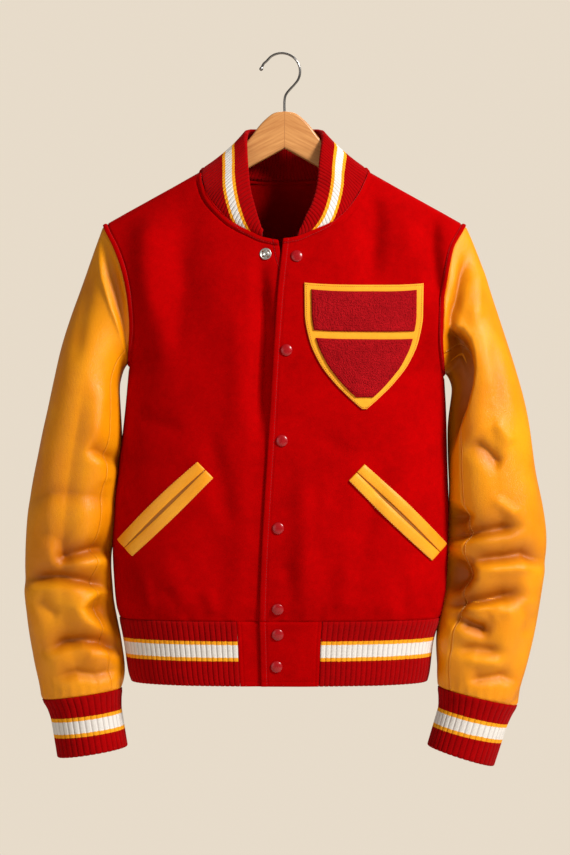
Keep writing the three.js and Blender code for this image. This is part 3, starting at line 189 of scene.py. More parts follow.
SLEEVE_CREASES = {
    "left": [
        (3.5, 3.5, 0.0, (100, 240), (101, 262), (104, 280), (112, 306), (120, 328), (127, 348)),
        (-3, 8, 0.0, (90, 262), (80, 320), (74, 372)),
        (4, 8, 0.3, (104, 380), (94, 425), (91, 446)),
        (3, 7, 0.0, (90, 455), (94, 470), (101, 484)),
        (-4, 7, 0.0, (34, 596), (46, 608), (60, 618)),
        (4, 5, 0.0, (108, 583), (90, 593), (76, 608), (83, 621), (96, 630), (112, 638)),
        (4, 7, 0.0, (84, 655), (96, 657), (108, 656)),
        (3, 7, 0.0, (66, 560), (84, 563), (102, 561)),
    ],
    "right": [
        (-10, 6, 0.4, (468, 248), (464, 278), (453, 316), (444, 345)),
        (5, 8, 0.0, (478, 262), (477, 300), (474, 330)),
        (-3, 8, 0.3, (494, 330), (500, 380), (502, 420)),
        (4, 7, 0.0, (494, 420), (506, 436), (512, 446)),
        (4, 6, 0.0, (492, 498), (506, 508), (520, 518)),
        (4, 6, 0.0, (480, 570), (504, 569), (538, 568)),
        (5, 4.5, 0.0, (454, 606), (478, 608), (512, 603)),
        (-6, 5, 0.0, (462, 622), (474, 627), (486, 630)),
        (3, 6, 0.0, (488, 618), (500, 612), (516, 612)),
        (-4, 6, 0.3, (456, 645), (478, 650), (504, 652)),
        (3, 6, 0.0, (462, 660), (482, 662), (506, 664)),
        (-3, 6, 0.4, (524, 600), (530, 618), (526, 640)),
    ],
}
# Folds that hang over: the leather curves in above each line and springs out again below it.
# Depth, width above, width below, then the places from left to right
SLEEVE_DROPS = {
    "left": [
        (9, 9, 6, (84, 446), (94, 450), (104, 456), (118, 464)),
        (5, 14, 10, (16, 500), (50, 492), (84, 494), (118, 500)),
        (3.5, 12, 10, (30, 528), (52, 536), (68, 548)),
        (16, 12, 7, (48, 556), (70, 556), (90, 549), (120, 546)),
        (17, 11, 7.5, (10, 578), (40, 577), (64, 577), (84, 580), (120, 590)),
        (16, 10, 7.5, (34, 652), (60, 644), (83, 639), (102, 641), (132, 656)),
        (9, 8, 7, (46, 680), (76, 672), (96, 674), (124, 666)),
    ],
    "right": [
        (10, 6, 10, (472, 438), (484, 448), (496, 459), (504, 466)),
        (16, 11, 7, (436, 538), (470, 533), (497, 529), (530, 525)),
        (15, 12, 7.5, (456, 561), (486, 558), (505, 557), (526, 554), (558, 564)),
        (18, 12, 7.5, (436, 606), (470, 602), (492, 599), (512, 596), (532, 590)),
        (10, 8, 8, (446, 612), (464, 619), (482, 629), (494, 636)),
        (8, 8, 6, (464, 680), (486, 678), (502, 676), (520, 679)),
        (5, 10, 8, (446, 650), (474, 646), (510, 652)),
    ],
}
# Places where the leather falls in behind a fold: depth, softness of the edge, then the outline
SLEEVE_HOLLOWS = {
    "left": [
        (18, 3.4, (102, 238), (104, 275), (112, 305), (120, 327), (129, 354), (144, 354), (138, 300),
         (124, 258)),
        (13, 7, (118, 582), (104, 588), (91, 595), (82, 603), (80, 608), (83, 614), (92, 621), (104, 627),
         (120, 636)),
        (8, 7, (108, 455), (116, 446), (130, 462), (130, 500), (114, 494)),
    ],
    "right": [
        (34, 5.5, (440, 336), (452, 329), (461, 331), (468, 340), (471, 352), (472, 368), (470, 385),
         (466, 408), (460, 432), (451, 462), (444, 474), (430, 474), (430, 380)),
        (24, 7, (430, 497), (446, 501), (457, 505), (466, 510), (471, 516), (467, 522), (458, 527),
         (446, 532), (430, 537)),
        (24, 7, (430, 552), (448, 553), (462, 557), (471, 563), (476, 571), (475, 579), (469, 586),
         (459, 591), (446, 595), (430, 598)),
        (10, 7, (430, 604), (442, 608), (448, 617), (443, 628), (430, 634)),
    ],
}
BACK_SLEEVE_DROPS = {
    "left": [(8, 11, 4, (34, 560), (64, 552), (106, 556)), (9, 10, 4, (40, 600), (72, 606), (108, 598)),
             (7, 9, 4, (46, 641), (70, 634), (110, 642)), (5, 12, 6, (34, 520), (60, 512), (100, 516)),
             (5, 8, 4, (50, 674), (78, 669), (112, 675))],
    "right": [(8, 11, 4, (452, 548), (492, 542), (530, 550)), (9, 10, 4, (454, 592), (490, 600), (526, 594)),
              (7, 9, 4, (452, 635), (488, 628), (520, 636)), (5, 12, 6, (462, 508), (500, 502), (530, 510)),
              (5, 8, 4, (452, 669), (486, 674), (512, 669))],
}
BACK_SLEEVE_CREASES = {
    "left": [(-6, 7, 0.5, (114, 250), (104, 300), (96, 350)), (4, 8, 0, (90, 260), (80, 330), (70, 400))],
    "right": [(-7, 7, 0.5, (458, 256), (466, 306), (474, 352)),
              (4, 8, 0, (484, 270), (494, 330), (502, 400))],
}
SNAPS = [(15.3, -260.8), (2.5, -378), (-3.1, -490), (-7.8, -598), (-8.4, -698), (-8.4, -730), (-9.9, -770)]
STUD = (-23.6, -258)
POCKETS = {"left": (-199, -624, -98, -526), "right": (193, -629.5, 89, -529)}
PATCH_X, PATCH_Z, PATCH_TOP, PATCH_BOTTOM = 98.5, -372, 75, 79
PATCH_BORDER = 8.4
SHIELD = table("rise half", (0, 3), (0.08, 17), (0.2, 36), (0.36, 55), (0.55, 68), (0.75, 73.5), (1, 74))


# Values along tables

def smooth(rows, key, column, at):
    """Monotone cubic through a table's rows."""
    k, v = rows[key], rows[column]
    rise = np.diff(v) / np.diff(k)
    product = rise[:-1] * rise[1:]
    total = rise[:-1] + rise[1:]
    inner = np.where(product <= 0, 0, 2 * product / np.where(total == 0, 1, total))
    slope = np.concatenate([rise[:1], inner, rise[-1:]])
    at = np.clip(at, k[0], k[-1])
    i = np.clip(np.searchsorted(k, at, side="right") - 1, 0, len(k) - 2)
    step = k[i + 1] - k[i]
    t = (at - k[i]) / step
    t2, t3 = t * t, t * t * t
    return ((2 * t3 - 3 * t2 + 1) * v[i] + (t3 - 2 * t2 + t) * step * slope[i]
            + (3 * t2 - 2 * t3) * v[i + 1] + (t3 - t2) * step * slope[i + 1])


def by_station(rows, column, at):
    """Catmull-Rom through a table's rows by their number."""
    v = rows[column]
    last = len(v) - 1
    at = np.clip(at, 0, last)
    i = np.clip(np.floor(at).astype(int), 0, last - 1)
    t = at - i
    a, b, c, d = (v[np.clip(i + n, 0, last)] for n in (-1, 0, 1, 2))
    return b + 0.5 * t * (c - a + t * (2 * a - 5 * b + 4 * c - d + t * (3 * (b - c) + d - a)))


def mix(a, b, t):
    return a + (b - a) * t


def ease(t):
    t = np.clip(t, 0, 1)
    return t * t * (3 - 2 * t)


def bell(distance, width):
    return np.exp(-(distance / width) ** 2)


# The body's form

def shoulder_line(x):
    out = np.abs(x)
    neck = NECK_Z + SHOULDER_SLOPE * (NECK_HALF ** 2 - out ** 2) / (2 * NECK_HALF)
    return np.where(out >= NECK_HALF, NECK_Z - SHOULDER_SLOPE * (out - NECK_HALF), neck)


def side_reach(side, z):
    underarm = ARMHOLE[side]["z"][0]
    above = np.maximum(z - underarm, 0)
    return smooth(BODY_WIDTHS, "z", side, np.minimum(z, underarm)) + 0.35 * above + 0.012 * above ** 2


def seen_in_picture(points):
    scale = VIEW_DISTANCE / (VIEW_DISTANCE + points[..., 1]) / PIXEL
    return np.stack([PICTURE[0] / 2 + (points[..., 0] - VIEW_X) * scale,
                     PICTURE[1] / 2 - (points[..., 2] - VIEW_Z) * scale], -1)


def along_line(places, line):
    """Distance from a line of places, its side (1 is its left) and the share of the way along it."""
    line = np.array(line, float)
    steps = np.diff(line, axis=0)
    lengths = np.hypot(steps[:, 0], steps[:, 1])
    distances, shares, signs = [], [], []
    run = 0
    for start, step, length in zip(line[:-1], steps, lengths):
        way = step / length
        off = places - start
        t = np.clip(off @ way, 0, length)
        rest = off - t[..., None] * way
        distances.append(np.hypot(rest[..., 0], rest[..., 1]))
        shares.append((run + t) / lengths.sum())
        signs.append(np.where(off[..., 0] * way[1] - off[..., 1] * way[0] < 0, -1, 1))
        run += length
    distances, shares, signs = np.array(distances), np.array(shares), np.array(signs)
    weights = np.exp(-(distances - distances.min(0)) / BEND_BLEND)
    weights /= weights.sum(0)
    return distances.min(0), (weights * signs).sum(0), (weights * shares).sum(0)


def distance_in_picture(places, line):
    best = np.full(places.shape[:-1], 1e9)
    for start, end in zip(line[:-1], line[1:]):
        step = end - start
        t = np.clip((places - start) @ step / max(step @ step, 1e-9), 0, 1)
        best = np.minimum(best, np.linalg.norm(places - start - t[..., None] * step, axis=-1))
    return best


def crease_height(places, creases):
    total = np.zeros(places.shape[:-1])
    for height, width, lean, *line in creases:
        distance, above, share = along_line(places, line)
        taper = ease(share / 0.3) * ease((1 - share) / 0.3)
        across = distance / width
        leaning = 1 - lean * above * across * np.minimum(taper * 4, 1)
        total += height * (0.12 + 0.88 * taper) * leaning * np.exp(-across ** 2)
    return total


def drop_height(places, drops):
    total = np.zeros(places.shape[:-1])
    for depth, above, below, *line in drops:
        distance, over, share = along_line(places, line)
        taper = ease(share / 0.3) * ease((1 - share) / 0.3)
        height = mix(np.exp(-(distance / below) ** 2), np.exp(-(np.sqrt(distance ** 2 + 1) - 1) / above),
                     (1 + over) / 2)
        total -= depth * (0.06 + 0.94 * taper) * height
    return total


def hollow_depth(places, hollows):
    total = np.zeros(places.shape[:-1])
    for depth, soft, *outline in hollows:
        corners = np.array(outline + [outline[0]], float)
        distance = distance_in_picture(places, corners)
        inside = np.zeros(places.shape[:-1], bool)
        x, y = places[..., 0], places[..., 1]
        for (x0, y0), (x1, y1) in zip(corners[:-1], corners[1:]):
            if y0 != y1:
                crossing = x0 + (y - y0) * (x1 - x0) / (y1 - y0)
                inside ^= ((y0 > y) != (y1 > y)) & (x < crossing)
        inward = np.where(inside, distance, -distance)
        total -= depth * ease(0.5 + inward / (2 * soft)) * (0.4 + 0.6 * ease(inward / 15))
    return total


def fold_height(folds, x, z):
    total = np.zeros(np.broadcast(x, z).shape)
    for x0, z0, x1, z1, width, height in folds:
        dx, dz = x1 - x0, z1 - z0
        along = ((x - x0) * dx + (z - z0) * dz) / (dx * dx + dz * dz)
        across = ((x - x0) * dz - (z - z0) * dx) / math.hypot(dx, dz)
        total += height * np.exp(-(np.abs(along - 0.5) / 0.55) ** 4) * np.exp(-(across / width) ** 2)
    return total


def body_depth(face, x, z, creased=True):
    below = np.maximum(shoulder_line(x) - z, 0)
    turned = 1 - np.minimum(below / RIDGE, 1)
    depth, reach = FALL[face]
    full = RIDGE * np.sqrt(np.maximum(1 - turned ** 2, 0)) + depth * (1 - np.exp(-below / reach))
    limit = np.where(x < 0, side_reach("left", z), side_reach("right", z))
    inward = np.clip(np.abs(x) / limit, 0, 1)
    side = (1 - inward ** ROUNDNESS) ** (1 / ROUNDNESS)
    folds = fold_height(BODY_FOLDS[face], x, z)
    if creased:
        y = full * (-0.9 if face == "front" else 0.9) * side
        places = seen_in_picture(np.stack(np.broadcast_arrays(x, y, z), -1))
        folds = folds + crease_height(places, BODY_CREASES if face == "front" else BACK_CREASES)
    folds = folds * np.clip(below / 40, 0, 1) * np.minimum(1, 2 * side)
    return (full * smooth(BODY_GATHER, "z", "keep", z) + folds) * side


def lower_front_drop(x, z):
    edge = smooth(FRONT_EDGE["right"], "z", "x", z)
    opened = np.clip((-244 - z) / 20, 0, 1)
    return OVERLAP_DROP * mix(0.35, 1, opened) * ease((x - edge + 30) / 26)


def body_points(face, x, z, lower=False):
    depth = body_depth(face, x, z)
    if lower:
        depth = depth - lower_front_drop(x, z)
    return np.stack([x, -depth if face == "front" else depth, z], -1)


def cap(t):
    return (1 - np.cos(np.pi * np.clip(t, 0, 1))) / 2


def armhole_places(side, rise):
    """Armhole seam in the front view, from 0 at the underarm to 1 at the shoulder tip."""
    rows = ARMHOLE[side]
    sign = -1 if side == "left" else 1
    z = mix(rows["z"][0], shoulder_line(SHOULDER_HALF), rise)
    start = side_reach(side, rows["z"][0]) - rows["x"][0]
    x = smooth(rows, "z", "x", z) + start * np.clip(1 - rise / 0.03, 0, 1)
    return sign * x, z


def side_places(side, row):
    sign = -1 if side == "left" else 1
    low = mix(HEM_SEAM_Z, ARMHOLE[side]["z"][0], np.minimum(row / SIDE_ROWS, 1))
    arm_x, arm_z = armhole_places(side, cap((row - SIDE_ROWS) / ARM_ROWS))
    above = row > SIDE_ROWS
    return np.where(above, arm_x, sign * side_reach(side, low)), np.where(above, arm_z, low)


def rise_of_row(row):
    return np.where(row <= SIDE_ROWS, SIDE_SHARE * row / SIDE_ROWS,
                    mix(SIDE_SHARE, 1, cap((row - SIDE_ROWS) / ARM_ROWS)))


def fill_places(bottom, top, start, end, u, v):
    """Fill between four edges: arrays of x and z along the columns and the rows."""
    grid = []
    for b, t, s, e in zip(bottom, top, start, end):
        across = mix(s[:, None], e[:, None], u)
        up = mix(b[None, :], t[None, :], v[:, None])
        low, high = mix(b[0], b[-1], u), mix(t[0], t[-1], u)
        grid.append(across + up - mix(low[None, :], high[None, :], v[:, None]))
    return grid


def top_places(side, columns, neck, shoulder, first):
    """Neck seam from its first station, then the shoulder seam; columns run from 0 to neck + shoulder."""
    sign = -1 if side == "left" else 1
    station = mix(first, 6, np.minimum(columns / neck, 1))
    x = sign * mix(NECK_HALF, SHOULDER_HALF, np.clip((columns - neck) / shoulder, 0, 1))
    on_neck = columns <= neck
    return (np.where(on_neck, by_station(COLLAR[side], "seam_x", station), x),
            np.where(on_neck, by_station(COLLAR[side], "seam_z", station), shoulder_line(x)))


# Grids of places over the pieces: fine near their edges

EDGE_STEPS = [0.35, 0.8, 1.4, 2.1, 3, 4, 5, 6, 7, 8, 9, 10.2, 12]


def spacing(length, step, fine_start=True, fine_end=True, multiple=3):
    """Shares of a length, close together near its ends, in a number that is a multiple of some steps."""
    head = [0] + (EDGE_STEPS if fine_start else [])
    tail = [length - d for d in reversed(EDGE_STEPS)] if fine_end else []
    low = head[-1]
    high = tail[0] if tail else length
    count = max(round((high - low) / step), 1)
    while (len(head) + count - 1 + len(tail)) % multiple:
        count += 1

    def filled(count):
        middle = [low + (high - low) * i / count for i in range(1, count + (0 if tail else 1))]
        return head + middle + (tail + [length] if tail else [])

    extra = (len(filled(count)) - 1) % multiple
    if extra:
        count += multiple - extra
    return np.array(filled(count)) / length


def panel_rows():
    low = spacing(322, 3.0, True, False) * SIDE_ROWS
    high = SIDE_ROWS + np.linspace(0, 1, ARM_POINTS)[1:] * ARM_ROWS
    return np.concatenate([low, high])


def relaxed(places, column, reach=26, rows=90, rounds=400):
    """Evens out the places below a corner of the top edge, at a column, so that no cell is a sliver."""
    x, z = places
    count, width = x.shape
    down = ease((np.arange(count) - (count - rows)) / 20)[:, None]
    aside = ease(1.4 - np.abs(np.arange(width) - column) / reach)[None, :]
    weight = 0.5 * down * aside
    weight[-1] = weight[:, 0] = weight[:, -1] = 0
    for _ in range(rounds):
        for grid in (x, z):
            middle = (grid[2:, 1:-1] + grid[:-2, 1:-1] + grid[1:-1, 2:] + grid[1:-1, :-2]) / 4
            grid[1:-1, 1:-1] += weight[1:-1, 1:-1] * (middle - grid[1:-1, 1:-1])
    return x, z


def front_grid(side):
    lower = side == "left"
    u = spacing(215, 2.8)
    row = panel_rows()
    v = rise_of_row(row)
    top = top_places(side, u * 13, 6, 7, 0)
    end = side_places(side, row)
    z = mix(HEM_SEAM_Z, top[1][0], v)
    start = (smooth(FRONT_EDGE[side], "z", "x", z), z)
    start[0][-1] = top[0][0]
    bottom = (mix(start[0][0], end[0][0], np.sin(u * np.pi / 2)), np.full(len(u), HEM_SEAM_Z))
    x, z = relaxed(fill_places(bottom, top, start, end, u, v), np.argmin(np.abs(u * 13 - 6)))
    return body_points("front", x, z, lower)


def back_grid():
    u = spacing(440, 3.0)
    row = panel_rows()
    columns = np.abs(u - 0.5) * 22
    neck = []
    for side in ("left", "right"):
        station = 9 - np.minimum(columns, 4) * 0.75
        sign = -1 if side == "left" else 1
        x = sign * mix(NECK_HALF, SHOULDER_HALF, np.clip((columns - 4) / 7, 0, 1))
        neck.append((np.where(columns <= 4, by_station(COLLAR[side], "seam_x", station), x),
                     np.where(columns <= 4, by_station(COLLAR[side], "seam_z", station), shoulder_line(x))))
    top = tuple(np.where(u < 0.5, left, right) for left, right in zip(*neck))
    left, right = side_places("left", row), side_places("right", row)
    turn = 2 * u - 1
    end = np.where(turn < 0, -left[0][0], right[0][0])
    bottom = (end * np.sin(turn * np.pi / 2), np.full(len(u), HEM_SEAM_Z))
    places = fill_places(bottom, top, left, right, u, rise_of_row(row))
    for corner in (7, 15):
        places = relaxed(places, np.argmin(np.abs(u * 22 - corner)))
    return body_points("back", *places)


def run_lengths(points, axis):
    steps = np.linalg.norm(np.diff(points, axis=axis), axis=-1)
    total = np.cumsum(steps, axis=axis)
    zero = np.zeros_like(np.take(total, [0], axis=axis))
    return np.concatenate([zero, total], axis=axis)


def edge_distances(grid):
    """Distance of every place of a grid from its start, end, bottom and top edges."""
    across, up = run_lengths(grid, 1), run_lengths(grid, 0)
    return across, across[:, -1:] - across, up, up[-1:] - up


def distance_to(points, line):
    """Distance of each point from a line of points."""
    flat = points.reshape(-1, 3)
    best = np.full(len(flat), 1e9)
    for start, end in zip(line[:-1], line[1:]):
        way = end - start
        t = np.clip((flat - start) @ way / max(way @ way, 1e-9), 0, 1)
        best = np.minimum(best, np.linalg.norm(flat - start - t[:, None] * way, axis=1))
    return best.reshape(points.shape[:-1])


def grid_normals(grid, centre, ring=False):
    padded = np.concatenate([grid[:, -2:-1], grid, grid[:, 1:2]], 1) if ring else grid
    across = np.gradient(padded, axis=1)
    across = across[:, 1:-1] if ring else across
    up = np.gradient(grid, axis=0)
    normal = np.cross(across, up)
    normal /= np.maximum(np.linalg.norm(normal, axis=-1, keepdims=True), 1e-9)
    outward = np.sum(normal * (grid - centre), -1)
    return normal if outward.sum() > 0 else -normal


# Meshes

def make_object(name, points, faces, uv=None, material=None, soften=True):
    """An object from points in millimetres; uv gives each corner of each face in turn."""
    mesh = bpy.data.meshes.new(name)
    mesh.from_pydata((np.asarray(points) * MM).tolist(), [], faces)
    if uv is not None:
        layer = mesh.uv_layers.new(name="Cloth")
        layer.data.foreach_set("uv", np.asarray(uv, float).ravel())
    shape = bmesh.new()
    shape.from_mesh(mesh)
    bmesh.ops.recalc_face_normals(shape, faces=shape.faces)
    shape.to_mesh(mesh)
    shape.free()
    mesh.polygons.foreach_set("use_smooth", [soften] * len(mesh.polygons))
    mesh.update()
    piece = bpy.data.objects.new(name, mesh)
    bpy.context.scene.collection.objects.link(piece)
    if material:
        mesh.materials.append(material)
    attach(piece, BODY)
    return piece


def quads(numbers, uv, faces, corners):
    """Faces over a grid of point numbers."""
    a, b, c, d = numbers[:-1, :-1], numbers[:-1, 1:], numbers[1:, 1:], numbers[1:, :-1]
    faces += np.stack([a, b, c, d], -1).reshape(-1, 4).tolist()
    places = np.stack([uv[:-1, :-1], uv[:-1, 1:], uv[1:, 1:], uv[1:, :-1]], -2)
    corners.append(places.reshape(-1, 2))


def bridge(dense, sparse, dense_uv, faces, corners):
    """Faces between a fine row of points and a coarse one."""
    step = (len(dense) - 1) // (len(sparse) - 1)
    for s in range(len(sparse) - 1):
        for k in range(step):
            d = s * step + k
            if k == step // 2:
                faces.append([dense[d], sparse[s + 1], sparse[s]])
                corners.append(dense_uv[[d, d, d]])
            faces.append([dense[d], dense[d + 1], sparse[s if k < step // 2 else s + 1]])
            corners.append(dense_uv[[d, d + 1, d]])


def make_wall(name, outer, inner, material, uv=None, stride=3):
    """A closed wall between a fine outer grid and every third point of an inner one."""
    rows, columns = outer.shape[:2]
    if uv is None:
        uv = np.stack([run_lengths(outer, 1), run_lengths(outer, 0)], -1) * MM
    inner, inner_uv = inner[::stride, ::stride], uv[::stride, ::stride]
    points = np.concatenate([outer.reshape(-1, 3), inner.reshape(-1, 3)])
    front = np.arange(rows * columns).reshape(rows, columns)
    back = rows * columns + np.arange(inner.shape[0] * inner.shape[1]).reshape(inner.shape[:2])
    faces, corners = [], []
    quads(front, uv, faces, corners)
    quads(back, inner_uv, faces, corners)
    for edge, other, places in ((front[0], back[0], uv[0]), (front[-1], back[-1], uv[-1]),
                                (front[:, 0], back[:, 0], uv[:, 0]), (front[:, -1], back[:, -1], uv[:, -1])):
        bridge(edge.tolist(), other.tolist(), places, faces, corners)
    return make_object(name, points, faces, np.concatenate(corners), material)


# Materials

class Finish:
    """A material's nodes, made in the order that the maker would add the layers."""

    def __init__(self, name):
        self.material = bpy.data.materials.new(name)
        self.material.use_nodes = True
        self.tree = self.material.node_tree
        self.tree.nodes.clear()
        self.output = self.tree.nodes.new("ShaderNodeOutputMaterial")
        self.shader = self.add("ShaderNodeBsdfPrincipled")
        self.tree.links.new(self.shader.outputs[0], self.output.inputs[0])

    def add(self, kind, values=None, **settings):
        node = self.tree.nodes.new(kind)
        for name, value in settings.items():
            setattr(node, name, value)
        for socket, value in (values or {}).items():
            self.put(node, socket, value)
        return node

    def put(self, node, socket, value):
        if isinstance(value, bpy.types.NodeSocket):
            self.tree.links.new(value, node.inputs[socket])
        else:
            node.inputs[socket].default_value = value

    def set(self, **values):
        for socket, value in values.items():
            self.put(self.shader, socket.replace("_", " "), value)

    def math(self, operation, a, b=0.0, clamp=False):
        node = self.add("ShaderNodeMath", operation=operation, use_clamp=clamp)
        self.put(node, 0, a)
        self.put(node, 1, b)
        return node.outputs[0]

    def blend(self, share, a, b, mode="MIX"):
        node = self.add("ShaderNodeMix", data_type="RGBA", blend_type=mode)
        self.put(node, 0, share)
        self.put(node, 6, a)
        self.put(node, 7, b)
        return node.outputs[2]

    def places(self):
        return self.add("ShaderNodeTexCoord").outputs["Object"]

    def uv(self):
        return self.add("ShaderNodeUVMap", uv_map="Cloth").outputs[0]

    def noise(self, vector, scale, detail=2.0, roughness=0.5):
        node = self.add("ShaderNodeTexNoise", {"Vector": vector, "Scale": scale, "Detail": detail,
                                               "Roughness": roughness})
        return node.outputs["Fac"]

    def bump(self, height, strength, distance, normal=None):
        values = {"Height": height, "Strength": strength, "Distance": distance}
        if normal:
            values["Normal"] = normal
        return self.add("ShaderNodeBump", values).outputs[0]

    def group(self, tree, **values):
        node = self.add("ShaderNodeGroup", node_tree=tree)
        for socket, value in values.items():
            self.put(node, socket.replace("_", " "), value)
        return node.outputs


def effect(name, inputs, outputs):
    """A node group with named inputs and outputs, and a Finish-like helper for its inside."""
    tree = bpy.data.node_groups.new(name, "ShaderNodeTree")
    for label, kind, value in inputs:
        socket = tree.interface.new_socket(label, in_out="INPUT", socket_type=f"NodeSocket{kind}")
        if value is not None:
            socket.default_value = value
    for label, kind in outputs:
        tree.interface.new_socket(label, in_out="OUTPUT", socket_type=f"NodeSocket{kind}")
    helper = Finish.__new__(Finish)
    helper.tree = tree
    helper.start = tree.nodes.new("NodeGroupInput")
    helper.end = tree.nodes.new("NodeGroupOutput")
    return tree, helper


def make_nap():
    """Short fibres of wool, felt and yarn: a mottled colour and a fine height."""
    tree, nap = effect("cloth_nap",
                       [("Places", "Vector", None), ("Fibre Scale", "Float", 900.0),
                        ("Light", "Color", None), ("Dark", "Color", None), ("Mottle", "Float", 0.5)],
                       [("Colour", "Color"), ("Height", "Float")])
    places = nap.start.outputs["Places"]
    fibres = nap.add("ShaderNodeTexNoise", {"Vector": places, "Scale": nap.start.outputs["Fibre Scale"],
                                            "Detail": 3.0, "Roughness": 0.65})
    clouds = nap.noise(places, 24.0, 3.0, 0.6)
    broad = nap.noise(places, 130.0, 2.0, 0.6)
    share = nap.math("MULTIPLY_ADD", fibres.outputs["Fac"], 0.55)
    share.node.inputs[2].default_value = 0.0
    share = nap.math("ADD", share, nap.math("MULTIPLY", clouds, 0.4))
    share = nap.math("ADD", share, nap.math("MULTIPLY", broad, 0.25))
    share = nap.math("SUBTRACT", share, 0.6)
    share = nap.math("MULTIPLY", share, nap.start.outputs["Mottle"])
    share = nap.math("ADD", nap.math("MULTIPLY", share, 3.0), 0.5, clamp=True)
    colour = nap.blend(share, nap.start.outputs["Dark"], nap.start.outputs["Light"])
    nap.put(nap.end, "Colour", colour)
    nap.put(nap.end, "Height", nap.math("ADD", fibres.outputs["Fac"], nap.math("MULTIPLY", broad, 0.6)))
    return tree


def make_grain():
    """Grain of soft leather: small pebbles with creases between them, and open pores."""
    tree, hide = effect("hide_grain",
                        [("Places", "Vector", None), ("Grain Scale", "Float", 700.0)],
                        [("Height", "Float"), ("Creases", "Float"), ("Clouds", "Float")])
    places = hide.start.outputs["Places"]
    scale = hide.start.outputs["Grain Scale"]
    bent = hide.add("ShaderNodeTexNoise", {"Vector": places, "Scale": 160.0, "Detail": 2.0})
    shift = hide.add("ShaderNodeVectorMath", {0: bent.outputs["Color"], 1: (0.0016, 0.0016, 0.0016)},
                     operation="MULTIPLY")
    moved = hide.add("ShaderNodeVectorMath", {0: places, 1: shift.outputs[0]}, operation="ADD")
    cells = hide.add("ShaderNodeTexVoronoi", {"Vector": moved.outputs[0], "Scale": scale},
                     feature="DISTANCE_TO_EDGE")
    pebble = hide.math("MULTIPLY", cells.outputs["Distance"], 3.2, clamp=True)
    wide = hide.noise(places, 95.0, 3.0, 0.6)
    pores = hide.noise(places, 1500.0, 2.0, 0.6)
    height = hide.math("ADD", pebble, hide.math("MULTIPLY", pores, 0.45))
    height = hide.math("ADD", height, hide.math("MULTIPLY", wide, 1.1))
    hide.put(hide.end, "Height", height)
    hide.put(hide.end, "Creases", hide.math("SUBTRACT", 1.0, pebble))
    hide.put(hide.end, "Clouds", hide.noise(places, 15.0, 3.0, 0.55))
    return tree


NAP = make_nap()
GRAIN = make_grain()


def wool_finish(name="red_wool", light=(0.5, 0.0, 0.0006, 1), dark=(0.25, 0.0, 0.0002, 1)):
    wool = Finish(name)
    nap = wool.group(NAP, Places=wool.places(), Fibre_Scale=1100.0, Light=light, Dark=dark, Mottle=0.62)
    wool.set(Base_Color=nap["Colour"], Roughness=0.95, Sheen_Weight=0.08, Sheen_Roughness=0.4,
             Sheen_Tint=(1.0, 0.04, 0.03, 1), Specular_IOR_Level=0.02,
             Normal=wool.bump(nap["Height"], 0.42, 0.0006))
    return wool.material


def leather_finish(name, light, dark, grain_scale, strength):
    hide = Finish(name)
    places = hide.places()
    grain = hide.group(GRAIN, Places=places, Grain_Scale=grain_scale)
    clouds = hide.math("MULTIPLY_ADD", grain["Clouds"], 2.2)
    clouds.node.inputs[2].default_value = -0.6
    clouds.node.use_clamp = True
    colour = hide.blend(clouds, dark, light)
    creases = hide.math("MULTIPLY", hide.math("POWER", grain["Creases"], 3.0), 0.35)
    colour = hide.blend(creases, colour, (dark[0] * 0.72, dark[1] * 0.6, dark[2] * 0.5, 1))
    # Painted shade: the 'fold' attribute, how deep each fold of the sleeve lies, darkens the colour by up to
    # 80%, so part of the folds' contrast is colour rather than shadow
    fold = hide.math("MULTIPLY", hide.add("ShaderNodeAttribute", attribute_name="fold").outputs["Fac"], 0.8)
    colour = hide.blend(fold, colour, (dark[0] * 0.4, dark[1] * 0.26, dark[2], 1))
    rough = hide.math("MULTIPLY_ADD", grain["Clouds"], 0.18)
    rough.node.inputs[2].default_value = 0.3
    hide.set(Base_Color=colour, Roughness=rough, Specular_IOR_Level=0.26, Coat_Weight=0.04,
             Coat_Roughness=0.3, Normal=hide.bump(grain["Height"], strength, 0.0006))
    return hide.material


